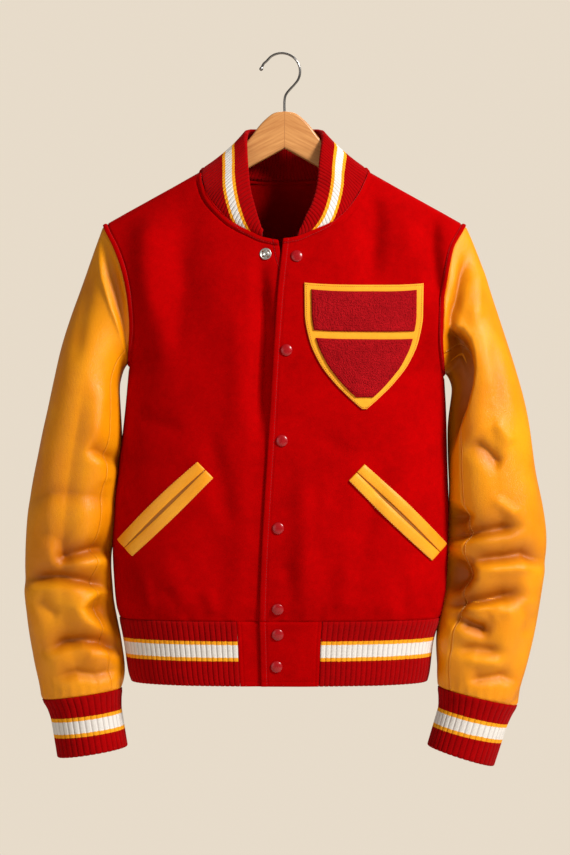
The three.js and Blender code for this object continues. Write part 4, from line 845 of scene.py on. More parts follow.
def knit_finish():
    """Rib knit: uv runs in ribs across and in stripe widths along; 1 is the white stripe's edge."""
    knit = Finish("rib_knit")
    uv = knit.add("ShaderNodeSeparateXYZ", {0: knit.uv()})
    rib, stripe = uv.outputs[0], uv.outputs[1]
    places = knit.places()
    wobble = knit.math("MULTIPLY", knit.math("SUBTRACT", knit.noise(places, 700.0, 1.0), 0.5), 0.32)
    reach = knit.math("ADD", knit.math("ABSOLUTE", stripe), wobble)
    white = knit.math("LESS_THAN", reach, 1.0)
    banded = knit.math("LESS_THAN", reach, 2.0)
    red = knit.group(NAP, Places=places, Fibre_Scale=1600.0, Light=(0.42, 0.0, 0.001, 1),
                     Dark=(0.22, 0.0, 0.0005, 1), Mottle=0.7)
    pale = knit.group(NAP, Places=places, Fibre_Scale=1600.0, Light=(0.84, 0.82, 0.79, 1),
                      Dark=(0.66, 0.62, 0.58, 1), Mottle=0.6)
    gold = knit.group(NAP, Places=places, Fibre_Scale=1600.0, Light=(0.98, 0.46, 0.02, 1),
                      Dark=(0.78, 0.26, 0.008, 1), Mottle=0.6)
    colour = knit.blend(banded, red["Colour"], gold["Colour"])
    colour = knit.blend(white, colour, pale["Colour"])
    turn = knit.math("FRACT", rib)
    valley = knit.math("ABSOLUTE", knit.math("SUBTRACT", knit.math("MULTIPLY", turn, 2.0), 1.0))
    shade = knit.math("MULTIPLY", knit.math("POWER", valley, 9.0), 0.55)
    colour = knit.blend(shade, colour, (0.12, 0.01, 0.01, 1), "MULTIPLY")
    run = knit.add("ShaderNodeAttribute", attribute_name="run").outputs["Fac"]
    loops = knit.math("SINE", knit.math("ADD", knit.math("MULTIPLY", run, 3.6),
                                        knit.math("MULTIPLY", valley, 3.2)))
    height = knit.math("ADD", knit.math("MULTIPLY", loops, 0.5), red["Height"])
    knit.set(Base_Color=colour, Roughness=0.95, Sheen_Weight=0.03, Sheen_Roughness=0.5,
             Specular_IOR_Level=0.03, Normal=knit.bump(height, 0.4, 0.0005))
    return knit.material


def felt_finish():
    felt = Finish("gold_felt")
    nap = felt.group(NAP, Places=felt.places(), Fibre_Scale=900.0, Light=(0.97, 0.44, 0.025, 1),
                     Dark=(0.82, 0.3, 0.012, 1), Mottle=0.6)
    felt.set(Base_Color=nap["Colour"], Roughness=0.95, Sheen_Weight=0.2, Specular_IOR_Level=0.15,
             Normal=felt.bump(nap["Height"], 0.45, 0.0006))
    return felt.material


def pile_finish():
    pile = Finish("chenille_pile")
    places = pile.places()
    nap = pile.group(NAP, Places=places, Fibre_Scale=1400.0, Light=(0.6, 0.006, 0.012, 1),
                     Dark=(0.27, 0.001, 0.004, 1), Mottle=0.9)
    tufts = pile.add("ShaderNodeTexVoronoi", {"Vector": places, "Scale": 620.0}, feature="F1")
    dip = pile.math("MULTIPLY", tufts.outputs["Distance"], 0.7, clamp=True)
    colour = pile.blend(dip, nap["Colour"], (0.16, 0.0, 0.002, 1))
    height = pile.math("SUBTRACT", nap["Height"], pile.math("MULTIPLY", tufts.outputs["Distance"], 1.4))
    pile.set(Base_Color=colour, Roughness=1.0, Sheen_Weight=0.1, Sheen_Roughness=0.5,
             Sheen_Tint=(1.0, 0.1, 0.08, 1), Specular_IOR_Level=0.1, Normal=pile.bump(height, 0.8, 0.001))
    return pile.material


def thread_finish(name, colour):
    thread = Finish(name)
    twist = thread.noise(thread.places(), 2600.0, 2.0)
    dark = tuple(channel * 0.7 for channel in colour[:3]) + (1,)
    thread.set(Base_Color=thread.blend(twist, dark, colour), Roughness=0.7,
               Normal=thread.bump(twist, 0.4, 0.0003))
    return thread.material


def wood_finish():
    """Beech with its grain running down each arm, so that it meets in a chevron at the middle."""
    wood = Finish("hanger_wood")
    apart = wood.add("ShaderNodeSeparateXYZ", {0: wood.places()})
    out = wood.math("ABSOLUTE", apart.outputs[0])
    across = wood.math("ADD", wood.math("MULTIPLY", out, 0.5), apart.outputs[2])
    along = wood.math("SUBTRACT", out, wood.math("MULTIPLY", apart.outputs[2], 0.5))
    streaks = wood.add("ShaderNodeCombineXYZ", {0: wood.math("MULTIPLY", along, 0.06), 1: across,
                                                2: wood.math("MULTIPLY", apart.outputs[1], 0.5)})
    rings = wood.noise(streaks.outputs[0], 420.0, 4.0, 0.6)
    broad = wood.noise(streaks.outputs[0], 90.0, 3.0, 0.5)
    share = wood.math("ADD", wood.math("MULTIPLY", rings, 0.8), wood.math("MULTIPLY", broad, 0.6))
    share = wood.math("MULTIPLY", wood.math("SUBTRACT", share, 0.45), 2.0, clamp=True)
    colour = wood.blend(share, (0.46, 0.17, 0.045, 1), (0.71, 0.34, 0.11, 1))
    joint = wood.math("LESS_THAN", out, 0.00035)
    colour = wood.blend(joint, colour, (0.42, 0.16, 0.05, 1))
    wood.set(Base_Color=colour, Roughness=0.38, Specular_IOR_Level=0.45, Coat_Weight=0.25,
             Coat_Roughness=0.25, Normal=wood.bump(rings, 0.12, 0.0004))
    return wood.material


def metal_finish(name, colour, roughness):
    metal = Finish(name)
    smears = metal.noise(metal.places(), 300.0, 3.0)
    rough = metal.math("MULTIPLY_ADD", smears, 0.16)
    rough.node.inputs[2].default_value = roughness
    dark = tuple(channel * 0.7 for channel in colour[:3]) + (1,)
    metal.set(Base_Color=metal.blend(smears, dark, colour), Metallic=1.0, Roughness=rough,
              Normal=metal.bump(metal.noise(metal.places(), 1200.0, 2.0), 0.08, 0.0003))
    return metal.material


def cap_finish():
    enamel = Finish("snap_enamel")
    smears = enamel.noise(enamel.places(), 420.0, 3.0)
    colour = enamel.blend(smears, (0.27, 0.001, 0.004, 1), (0.4, 0.005, 0.01, 1))
    rough = enamel.math("MULTIPLY_ADD", smears, 0.14)
    rough.node.inputs[2].default_value = 0.2
    enamel.set(Base_Color=colour, Roughness=rough, Specular_IOR_Level=0.4, Coat_Weight=0.12,
               Coat_Roughness=0.2, Normal=enamel.bump(smears, 0.06, 0.0004))
    return enamel.material


RED_WOOL = wool_finish()
LEATHER_FINISH = leather_finish("gold_leather", (0.93, 0.36, 0.0015, 1), (0.8, 0.25, 0.0005, 1), 620.0, 0.34)
WELT_FINISH = leather_finish("welt_leather", (0.93, 0.42, 0.022, 1), (0.83, 0.3, 0.008, 1), 900.0, 0.16)
# A darker brown copy of the welt leather: painted shade for the inside of the pocket slits
SLIT_SHADE_LEATHER = leather_finish("pocket_slit_shade_leather", (0.42, 0.15, 0.012, 1), (0.26, 0.08, 0.006, 1), 900.0, 0.2)
RIB_KNIT = knit_finish()
GOLD_FELT = felt_finish()
PILE = pile_finish()
RED_THREAD = thread_finish("red_thread", (0.4, 0.004, 0.008, 1))
# Dark thread for the shield's stitches, also used as the painted shade of the stud's holes
DARK_THREAD_AND_HOLE_SHADE = thread_finish("dark_thread_and_hole_shade", (0.2, 0.05, 0.01, 1))
GOLD_THREAD = thread_finish("gold_thread", (0.95, 0.6, 0.15, 1))
HANGER_WOOD = wood_finish()
HOOK_METAL = metal_finish("hook_metal", (0.34, 0.33, 0.32, 1), 0.16)
STUD_METAL = metal_finish("stud_metal", (0.56, 0.54, 0.51, 1), 0.36)
CAP_ENAMEL = cap_finish()


# Sewing

def stitches(name, lines, material, pitch=3.2, length=2.3, radius=0.32):
    """Rows of thread stitches lying along lines of points, joined into one piece."""
    sides, ends = 5, 4
    angles = [2 * math.pi * k / sides for k in range(sides)]
    ring = np.array([(math.cos(angle), math.sin(angle)) for angle in angles])
    profile = [(-0.5, 0.25), (-0.3, 0.95), (0.3, 0.95), (0.5, 0.25)]
    points, faces = [], []
    for line, normals in lines:
        run = run_lengths(line[None], 1)[0]
        count = int(run[-1] // pitch)
        at = (np.arange(count) + 0.5) * run[-1] / max(count, 1)
        middle = np.stack([np.interp(at, run, line[:, k]) for k in range(3)], -1)
        ahead = np.stack([np.interp(at + 0.5, run, line[:, k]) - np.interp(at - 0.5, run, line[:, k])
                          for k in range(3)], -1)
        ahead /= np.linalg.norm(ahead, axis=-1, keepdims=True)
        up = np.stack([np.interp(at, run, normals[:, k]) for k in range(3)], -1)
        up -= np.sum(up * ahead, -1, keepdims=True) * ahead
        up /= np.linalg.norm(up, axis=-1, keepdims=True)
        side = np.cross(ahead, up)
        for m, a, u, s in zip(middle, ahead, up, side):
            base = len(points)
            for along, wide in profile:
                for c, d in ring:
                    points.append(m + a * along * length + (s * c + u * (d + 0.3)) * radius * wide)
            for e in range(ends - 1):
                for k in range(sides):
                    n = (k + 1) % sides
                    faces.append([base + e * sides + k, base + e * sides + n,
                                  base + (e + 1) * sides + n, base + (e + 1) * sides + k])
            faces.append([base + k for k in range(sides)])
            faces.append([base + (ends - 1) * sides + k for k in range(sides)])
    piece = make_object(name, points, faces, None, material)
    return piece


def line_inside(grid, normals, axis, from_end, distance, lift, low=0.0, high=1.0):
    """Line of points that runs at a distance inside one edge of a grid, and its normals.

    axis 1 keeps its distance from the first or last column, axis 0 from the first or last row."""
    if axis == 0:
        grid, normals = grid.transpose(1, 0, 2), normals.transpose(1, 0, 2)
    if from_end:
        grid, normals = grid[:, ::-1], normals[:, ::-1]
    run = run_lengths(grid, 1)
    first, last = round(low * (len(grid) - 1)), round(high * (len(grid) - 1))
    points, ups = [], []
    for r in range(first, last + 1):
        ups.append([np.interp(distance, run[r], normals[r, :, k]) for k in range(3)])
        points.append([np.interp(distance, run[r], grid[r, :, k]) for k in range(3)])
    points, ups = np.array(points), np.array(ups)
    return points + ups * lift, ups


# Body panels

def seam_roll(distance, width, height, groove):
    """A turned seam allowance: raised up to its row of stitches, with a groove there."""
    inside = np.clip(distance / width, 0, 1)
    roll = height * np.sqrt(np.maximum(1 - (2 * inside - 0.75) ** 2 / 1.7, 0)) * (distance < width)
    return roll * ease((width - distance) / 1.5) - groove * bell(distance - width, 0.9)


def seam_dip(distance, depth=1.0, width=1.7):
    return -depth * bell(distance, width)


def round_edge(distance, radius=1.05):
    d = np.clip(distance, 0, radius)
    return -(radius - np.sqrt(radius ** 2 - (radius - d) ** 2))


def gathers(x, distance, seed):
    """Small puckers where the wool is eased onto the knit."""
    generator = np.random.default_rng(seed)
    total = np.zeros_like(x)
    for wave in range(9):
        length = generator.uniform(11, 34)
        total += np.sin(2 * np.pi * x / length + generator.uniform(0, 6.28)) * generator.uniform(0.12, 0.32)
    return total * np.exp(-distance / 16) * ease(distance / 3)


def dressed_panel(name, node, grid, centre, side):
    """A wool panel with its seams turned; the wearer's front ones have a free edge at their start."""
    normals = grid_normals(grid, centre)
    start, _, bottom, _ = edge_distances(grid)
    top = grid[-1]
    on_neck = np.abs(top[:, 0]) <= NECK_HALF
    sides = [grid[:, -1]] if side != "back" else [grid[:, 0], grid[:, -1]]
    relief = gathers(grid[..., 0], bottom, 3) + seam_dip(bottom, 0.9)
    relief = relief + seam_roll(distance_to(grid, top[on_neck]), 6.4, 2.0, 1.7)
    for shoulder in (top[(top[:, 0] < 0) & ~on_neck], top[(top[:, 0] > 0) & ~on_neck]):
        if len(shoulder):
            relief = relief + seam_dip(distance_to(grid, shoulder), 0.7, 1.2)
    for line in sides:
        relief = relief + seam_roll(distance_to(grid, line[-ARM_POINTS:]), 6.0, 1.7, 1.3)
        relief = relief + seam_dip(distance_to(grid, line[:1 - ARM_POINTS]), 0.8, 1.3)
    if side != "back":
        relief = relief + round_edge(start) + 0.5 * ease(start / 2) * ease((8 - start) / 2)
        relief = relief - 0.8 * bell(start - 8.2, 0.9)
    outer = grid + normals * relief[..., None]
    inner = grid - normals * WOOL
    piece = make_wall(name, outer, inner, RED_WOOL)
    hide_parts(node)
    return piece, outer, normals


def body_centre(grid):
    return np.stack([np.zeros(grid.shape[:2]), np.zeros(grid.shape[:2]), grid[..., 2] - 20], -1)


body = {}
for name, node, side, grid in (("right_front_panel", "front_right", "left", front_grid("left")),
                               ("left_front_panel", "front_left", "right", front_grid("right")),
                               ("back_panel", "back", "back", back_grid())):
    piece, outer, normals = dressed_panel(name, node, grid, body_centre(grid), side)
    body[side] = {"piece": piece, "outer": outer, "normals": normals, "grid": grid}

# Sleeves

SLEEVE_RINGS = 301
NEARER = {"left": 12.5, "right": 8.0}            # how far the sleeve's inner side leans on the body
SEAM_DEPTH = {"left": 0.15, "right": 0.8}       # of the front under-sleeve seam
AROUND = 180


def armhole_loop(side, turn):
    """Points of the armhole seam by their turn about the arm: the front comes first."""
    back = turn > np.pi
    rise = (1 - np.cos(turn)) / 2
    x, z = armhole_places(side, rise)
    front_y = body_points("front", x, z, side == "left")[..., 1]
    back_y = body_points("back", x, z)[..., 1]
    return np.stack([x, np.where(back, back_y, front_y), z], -1)


def sleeve_base(side):
    turn = np.linspace(0, 2 * np.pi, AROUND + 1)
    loop = armhole_loop(side, turn)
    station = np.linspace(0, 15, SLEEVE_RINGS)
    place = {column: by_station(SLEEVE[side], column, station)[:, None] for column in SLEEVE[side]}
    middle = (SLEEVE_MIDDLE_Y * ease((station - 1) / CAP_STATIONS))[:, None]
    across = (1 - np.cos(turn)) / 2
    depth = np.where(turn <= np.pi, place["front"], place["back"])
    rounded = np.stack([mix(place["in_x"], place["out_x"], across), middle - depth * np.sin(turn),
                        mix(place["in_z"], place["out_z"], across)], -1)
    first = {column: SLEEVE[side][column][0] for column in SLEEVE[side]}
    length = math.hypot(first["out_x"] - first["in_x"], first["out_z"] - first["in_z"])
    axis = ((first["out_x"] - first["in_x"]) / length, (first["out_z"] - first["in_z"]) / length)
    dx, dz = loop[:, 0] - first["in_x"], loop[:, 2] - first["in_z"]
    along = (dx * axis[0] + dz * axis[1]) / length
    bow = (dx * axis[1] - dz * axis[0]) / length
    ux, uz = place["out_x"] - place["in_x"], place["out_z"] - place["in_z"]
    cut = np.stack([place["in_x"] + along * ux + bow * uz, loop[None, :, 1] + middle,
                    place["in_z"] + along * uz - bow * ux], -1)
    share = ease(station / CAP_STATIONS)[:, None, None]
    return mix(cut, rounded, share), station, turn


def dressed_sleeve(side, worn):
    base, station, turn = sleeve_base(side)
    centre = base[:, :-1].mean(1, keepdims=True)
    normals = grid_normals(base, centre, ring=True)
    places = seen_in_picture(base)
    calm = (ease(station / 1.2) * ease((15 - station) / 0.5))[:, None]
    seen = ease(0.22 - normals[..., 1] * 1.5)
    hidden = ease(0.1 + normals[..., 1] * 1.5)
    front = (crease_height(places, SLEEVE_CREASES[side]) + drop_height(places, SLEEVE_DROPS[side])
             + hollow_depth(places, SLEEVE_HOLLOWS[side]))
    back = crease_height(places, BACK_SLEEVE_CREASES[side]) + drop_height(places, BACK_SLEEVE_DROPS[side])
    towards_body = normals[..., 0] * (1 if side == "left" else -1)
    reach = (ease((station - 4) / 3) * ease((15 - station) / 3))[:, None]
    nearer = NEARER[side] * ease(towards_body * 1.6) * reach
    ruffle = np.zeros(base.shape[:2])
    generator = np.random.default_rng(11 if side == "left" else 12)
    for _ in range(10):
        ruffle += (generator.uniform(0.15, 0.5)
                   * np.sin(generator.integers(2, 7) * turn + generator.uniform(0, 6.28)
                            + generator.uniform(0.8, 2.6) * station[:, None]))
    ruffle *= ease((station - 6) / 4)[:, None]
    run = run_lengths(base, 0)
    eased = 0.5 * np.sin(26 * turn) * np.exp(-((run[-1:] - run) / 12)) * ease((run[-1:] - run) / 3)
    relief = calm * (front * seen + back * hidden + ruffle) + eased + nearer
    relief += seam_dip(run, 1.2, 2.2) + seam_dip(run[-1:] - run, 0.9, 1.5)
    # Painted shade: how deep each trough lies, kept below as the 'fold' attribute, which darkens the
    # leather's colour in its folds
    painted_fold_shade = np.clip(-calm * (front * seen + back * hidden) / 13, 0, 1)
    outer = base + normals * relief[..., None]
    split = round(UNDER_TURN / (2 * np.pi) * AROUND)
    wrapped = np.concatenate([np.arange(AROUND - split, AROUND), np.arange(0, split + 1)])
    made = {}
    for part, columns in (("upper", np.arange(split, AROUND - split + 1)), ("under", wrapped)):
        piece_outer = outer[:, columns].copy()
        piece_normals = normals[:, columns]
        at_front, at_back, _, _ = edge_distances(piece_outer)
        if part == "under":
            at_front, at_back = at_back, at_front
        depth = SEAM_DEPTH[side]
        piece_outer += piece_normals * (seam_dip(at_front, depth, 1.5) + seam_dip(at_back, 0.8, 1.5)
                                        + 0.4 * depth * bell(at_front - 3.5, 1.8)
                                        + 0.35 * bell(at_back - 3.5, 1.8))[..., None]
        inner = outer[:, columns] - piece_normals * LEATHER
        piece = make_wall(f"{worn}_sleeve_{part}", piece_outer, inner, LEATHER_FINISH, stride=2)
        painted_fold_shades = np.zeros(len(piece.data.vertices))
        painted_fold_shades[:piece_outer[..., 0].size] = painted_fold_shade[:, columns].ravel()
        piece.data.attributes.new("fold", "FLOAT", "POINT").data.foreach_set("value", painted_fold_shades)
        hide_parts(f"sleeve_{worn}_{part}")
        made[part] = {"piece": piece, "outer": piece_outer, "normals": piece_normals}
    return made, outer, normals, turn


sleeves = {}
for side, worn in (("left", "right"), ("right", "left")):
    made, ring, ring_normals, ring_turn = dressed_sleeve(side, worn)
    sleeves[side] = {"made": made, "outer": ring, "normals": ring_normals, "turn": ring_turn}


# Rib knit

RIB_COLUMNS = 8
RIB_HEIGHT = 1.1
STRIPE_EDGE = 4.5


def rib_wave(columns):
    """Height of the ribs over the knit's valleys, by column."""
    return 1 - np.abs(2 * (columns / RIB_COLUMNS % 1) - 1) ** 4


def stripe_place(distance, middle, half):
    """Stripe coordinate: 1 at the white stripe's edge and 2 at the yellow's."""
    off = distance - middle
    size = np.abs(off)
    return np.sign(off) * np.where(size < half, size / half, 1 + (size - half) / STRIPE_EDGE)


def knit_band(name, outer, directions, inward, ring, stripe, thickness, node, plain_inside=False):
    """A folded band: its outer face, a rounded free edge and its inner face, ribbed on both.

    The outer grid runs from the seam to the free edge; inward says how much the inside is drawn in,
    and plain_inside leaves the stripes off the inner face."""
    rows, columns = outer.shape[:2]
    count = np.arange(columns)
    ribs = rib_wave(count)[None, :]
    run = run_lengths(outer, 0)
    width = run[-1:]
    rise = ribs * RIB_HEIGHT * (0.35 + 0.65 * ease(run / 5))
    face = outer + directions * rise[..., None]
    down = outer[-1] - outer[-2]
    down /= np.linalg.norm(down, axis=-1, keepdims=True)
    bend = []
    for step in range(1, 6):
        angle = math.pi * step / 6
        out = thickness / 2 * math.cos(angle) + ribs[0] * RIB_HEIGHT * math.cos(angle)
        drop = (thickness / 2 + ribs[0] * RIB_HEIGHT * 0.6) * math.sin(angle)
        bend.append(outer[-1] - directions[-1] * thickness / 2 + directions[-1] * out[:, None]
                    + down * drop[:, None])
    inside = (outer - directions * (thickness + ribs * inward)[..., None])[::-1]
    grid = np.concatenate([face, np.array(bend), inside[:-1:2], inside[-1:]])
    distance = np.concatenate([run, np.repeat(width, 5, 0), run[::-1][:-1:2], run[:1]])
    middle, half, from_edge = stripe
    off = width - distance if from_edge else distance
    coordinate = stripe_place(off, middle, half)
    if plain_inside:
        coordinate[rows:] = -4
    uv = np.stack([np.broadcast_to(count / RIB_COLUMNS, coordinate.shape), coordinate], -1)
    total = grid.shape[0]
    numbers = np.arange(total * columns).reshape(total, columns)
    if ring:
        numbers[:, -1] = numbers[:, 0]
    faces, corners = [], []
    quads(numbers, uv, faces, corners)
    seam_uv = np.stack([uv[-1], uv[0]])
    quads(np.stack([numbers[-1], numbers[0]]), seam_uv, faces, corners)
    if not ring:
        for c in (0, columns - 1):
            faces.append(numbers[:, c].tolist())
            corners.append(uv[:, c])
    piece = make_object(name, grid.reshape(-1, 3), faces, np.concatenate(corners), RIB_KNIT)
    if ring:
        drop_loose(piece)
    along = np.concatenate([run, np.repeat(width, 5, 0), run[::-1][:-1:2], run[:1]])
    attribute = piece.data.attributes.new("run", "FLOAT", "POINT")
    values = along.reshape(-1) if not ring else along[:, :-1].reshape(-1)
    attribute.data.foreach_set("value", values)
    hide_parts(node)
    return piece


def drop_loose(piece):
    shape = bmesh.new()
    shape.from_mesh(piece.data)
    loose = [point for point in shape.verts if not point.link_faces]
    bmesh.ops.delete(shape, geom=loose, context="VERTS")
    shape.to_mesh(piece.data)
    shape.free()


def at_lengths(points, lengths):
    run = run_lengths(points[None], 1)[0]
    return np.stack([np.interp(lengths, run, points[:, k]) for k in range(3)], -1)


def neck_line():
    """The neck seam from the right front round the back to the left one, with sides and stations."""
    left = np.linspace(1, 9, 97)
    right = np.linspace(9, 1, 97)[1:]
    places = []
    for side, stations in (("left", left), ("right", right)):
        x = by_station(COLLAR[side], "seam_x", stations)
        z = by_station(COLLAR[side], "seam_z", stations)
        front = body_points("front", x, z, side == "left")
        back = body_points("back", x, z)
        y = np.where(stations <= 6, front[..., 1], back[..., 1])
        places.append(np.stack([x, y, z], -1))
    signs = np.concatenate([np.zeros(len(left)), np.ones(len(right))])
    return np.concatenate(places), signs, np.concatenate([left, right])


def collar_grid():
    seam, sides, stations = neck_line()
    run = run_lengths(seam[None], 1)[0]
    columns = 108 * RIB_COLUMNS + 1
    at = np.linspace(0, run[-1], columns)
    start = at_lengths(seam, at)
    station = np.interp(at, run, stations)
    on_right = np.interp(at, run, sides) > 0.5
    edge = np.stack([np.where(on_right, by_station(COLLAR["right"], axis, station),
                              by_station(COLLAR["left"], axis, station)) for axis in "xyz"], -1)
    rise = edge - start
    width = np.linalg.norm(rise, axis=-1)
    away = start * (1, 1, 0)
    away /= np.linalg.norm(away, axis=-1, keepdims=True)
    away[:, 2] = 0.55
    bulge = away - rise * (np.sum(away * rise, -1) / width ** 2)[:, None]
    bulge /= np.linalg.norm(bulge, axis=-1, keepdims=True)
    v = np.linspace(0, 1, 31)[:, None]
    lift = 7 * np.minimum(width / 60, 1) * mix(1, -0.35, ease((station - 4.2) / 1.6)) * 4 * v * (1 - v)
    return start + rise * v[..., None] + bulge * lift[..., None]


collar = collar_grid()
collar_centre = np.broadcast_to(np.array([0, 0, -190.0]), collar.shape)
collar_directions = grid_normals(collar, collar_centre)
collar_piece = knit_band("rib_collar", collar, collar_directions, 0.6, False, (27.5, 5.5, True), 4.2,
                         "collar", True)


def hem_line():
    """The body's lower seam from the right front's edge round the back to the left front's edge."""
    left = body["left"]["grid"][0]
    back = body["back"]["grid"][0]
    right = body["right"]["grid"][0][::-1]
    return np.concatenate([left, back[1:], right[1:]])


def hem_points(seam, z):
    left, right = side_reach("left", z) / side_reach("left", HEM_SEAM_Z), side_reach("right", z) / side_reach(
        "right", HEM_SEAM_Z)
    reach = np.where(seam[:, 0] < 0, left, right)
    keep = smooth(BODY_GATHER, "z", "keep", z) / smooth(BODY_GATHER, "z", "keep", HEM_SEAM_Z)
    return np.stack([seam[:, 0] * reach, seam[:, 1] * keep, np.full(len(seam), z)], -1)


def length_at(seam, x, from_end):
    run = run_lengths(seam[None], 1)[0]
    order = range(len(seam) - 1, 0, -1) if from_end else range(1, len(seam))
    for i in order:
        a, b = seam[i - 1, 0], seam[i, 0]
        if (a - x) * (b - x) <= 0 and a != b:
            return mix(run[i - 1], run[i], (x - a) / (b - a))
    raise ValueError("the hem never passes that place")


hem_seam = hem_line()
hem_total = run_lengths(hem_seam[None], 1)[0][-1]
rib_from = length_at(hem_seam, -59.6, False)
rib_to = length_at(hem_seam, 46.8, True)


def hem_grid(start, end, columns, levels):
    seam = at_lengths(hem_seam, np.linspace(start, end, columns))
    grid = np.stack([hem_points(seam, z) for z in levels])
    return grid


def hem_normals(grid):
    return grid_normals(grid, grid * (0.6, 0, 1))


hem_levels = np.linspace(HEM_SEAM_Z - 0.2, HEM_Z + 2.2, 31)
hem = hem_grid(rib_from, rib_to, 122 * RIB_COLUMNS + 1, hem_levels)
hem_piece = knit_band("rib_hem", hem, hem_normals(hem), 0.3, False, (37.0, 8.0, False), 3.4, "hem_rib")


def hem_tab(name, node, start, end, free_at_start):
    columns = spacing(end - start, 1.6)
    levels = HEM_SEAM_Z - 0.2 + spacing(HEM_SEAM_Z - HEM_Z, 2.4) * (HEM_Z - HEM_SEAM_Z + 0.2)
    seam = at_lengths(hem_seam, mix(start, end, columns))
    grid = np.stack([hem_points(seam, z) for z in levels])
    normals = hem_normals(grid)
    from_start, from_end, from_top, from_bottom = edge_distances(grid)
    free, sewn = (from_start, from_end) if free_at_start else (from_end, from_start)
    relief = round_edge(free) + round_edge(from_bottom) + seam_dip(from_top, 0.9) + seam_dip(sewn, 0.5, 1.2)
    relief = relief + 0.5 * ease(free / 2) * ease((8 - free) / 2) - 0.6 * bell(free - 8.2, 0.9)
    relief = relief - 0.5 * bell(from_bottom - 6, 0.9) - 0.5 * bell(sewn - 5, 0.9)
    outer = grid + normals * (relief + 0.2)[..., None]
    piece = make_wall(name, outer, grid - normals * WOOL, RED_WOOL)
    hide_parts(node)
    return piece, outer, normals, grid


right_tab, right_tab_outer, right_tab_normals, right_tab_grid = hem_tab(
    "right_hem_tab", "hem_tab_right", 0, rib_from - 0.35, True)
left_tab, left_tab_outer, left_tab_normals, left_tab_grid = hem_tab(
    "left_hem_tab", "hem_tab_left", rib_to + 0.35, hem_total, False)


def cuff_grid(side):
    columns = 36 * RIB_COLUMNS + 1
    turn = np.linspace(0, 2 * np.pi, columns)
    ring, _, base_turn = sleeve_base(side)
    seam = np.stack([np.interp(turn, base_turn, ring[-1, :, k]) for k in range(3)], -1)
    rows = CUFF[side]
    rings = [seam]
    for r in range(3):
        across = (1 - np.cos(turn)) / 2
        depth = np.where(turn <= np.pi, rows["front"][r], rows["back"][r])
        rings.append(np.stack([mix(rows["in_x"][r], rows["out_x"][r], across),
                               SLEEVE_MIDDLE_Y - depth * np.sin(turn),
                               mix(rows["in_z"][r], rows["out_z"][r], across)], -1))
    rings = np.array(rings)
    spans = np.array([0, 0.19, 0.36, 1])
    at = np.linspace(0.004, 0.975, 33)
    grid = np.empty((len(at), columns, 3))
    for k in range(3):
        for c in range(columns):
            grid[:, c, k] = np.interp(at, spans, rings[:, c, k])
    for _ in range(3):
        grid[1:-1] = (grid[:-2] + 2 * grid[1:-1] + grid[2:]) / 4
    return grid


for side, worn in (("left", "right"), ("right", "left")):
    grid = cuff_grid(side)
    directions = grid_normals(grid, grid[:, :-1].mean(1, keepdims=True), ring=True)
    knit_band(f"{worn}_cuff", grid, directions, 0.4, True, (39.0, 8.0, False), 3.2,
                            f"cuff_{worn}")


# Snaps, stud, pockets and patch lie on the fronts

def front_surface(x, z, lower=False):
    """Points and normals of a front's outer face at places in the front view."""
    x, z = np.asarray(x, float), np.asarray(z, float)
    points = body_points("front", x, z, lower)
    step = 1.5
    right, left = (body_points("front", x + d, z, lower)[..., 1] for d in (step, -step))
    up, down = (body_points("front", x, z + d, lower)[..., 1] for d in (step, -step))
    normal = np.stack([(right - left) / (2 * step), -np.ones_like(x), (up - down) / (2 * step)], -1)
    return points, normal / np.linalg.norm(normal, axis=-1, keepdims=True)


def turned_disc(name, node, point, normal, profile, material, spokes=40):
    """A lathe-turned piece that stands on a point; its profile is radius and height."""
    normal = normal / np.linalg.norm(normal)
    side = np.cross(normal, (0, 0, 1.0))
    side /= np.linalg.norm(side)
    up = np.cross(side, normal)
    points, faces = [], []
    for radius, height in profile:
        for k in range(spokes):
            angle = 2 * math.pi * k / spokes
            points.append(point + normal * height + (side * math.cos(angle) + up * math.sin(angle)) * radius)
    for r in range(len(profile) - 1):
        for k in range(spokes):
            n = (k + 1) % spokes
            faces.append([r * spokes + k, r * spokes + n, (r + 1) * spokes + n, (r + 1) * spokes + k])
    faces.append(list(range(spokes)))
    faces.append([(len(profile) - 1) * spokes + k for k in range(spokes)])
    piece = make_object(name, points, faces, None, material)
    if node:
        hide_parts(node)
    return piece


def hem_face(x, z):
    seam = body["right"]["grid"][0]
    place = np.array([[np.interp(x, seam[:, 0], seam[:, k]) for k in range(3)]])
    point = hem_points(place, z)[0]
    above = hem_points(place, z + 4)[0]
    point[0] = x
    slope = (above[1] - point[1]) / 4
    return point, np.array([0, -1, slope])


CAP_PROFILE = [(6.6, 0.2), (7.2, 0.25), (7.45, 0.7), (7.3, 1.2), (6.7, 1.75), (5.8, 2.25), (4.4, 2.75),
               (2.8, 3.05), (1.2, 3.18), (0.1, 3.2)]
for i, (x, z) in enumerate(SNAPS):
    point, normal = hem_face(x, z) if z < HEM_SEAM_Z else front_surface(x, z)
    turned_disc(f"snap_{i + 1}", f"snap_cap_{i + 1}", point, normal, CAP_PROFILE, CAP_ENAMEL)
stud_point, stud_normal = front_surface(*STUD, lower=True)
turned_disc("open_stud", "snap_stud", stud_point, stud_normal,
            [(6.6, 0.1), (7.3, 0.4), (7.4, 1.1), (7.0, 1.7), (6.3, 1.8), (5.8, 1.4), (5.4, 1.0), (4.2, 0.9),
             (3.9, 1.4), (3.5, 2.2), (2.9, 2.5), (2.3, 2.2), (2.1, 1.3), (0.1, 1.2)], STUD_METAL)
stud_side = np.cross(stud_normal, (0, 0, 1.0))
stud_up = np.cross(stud_side, stud_normal)
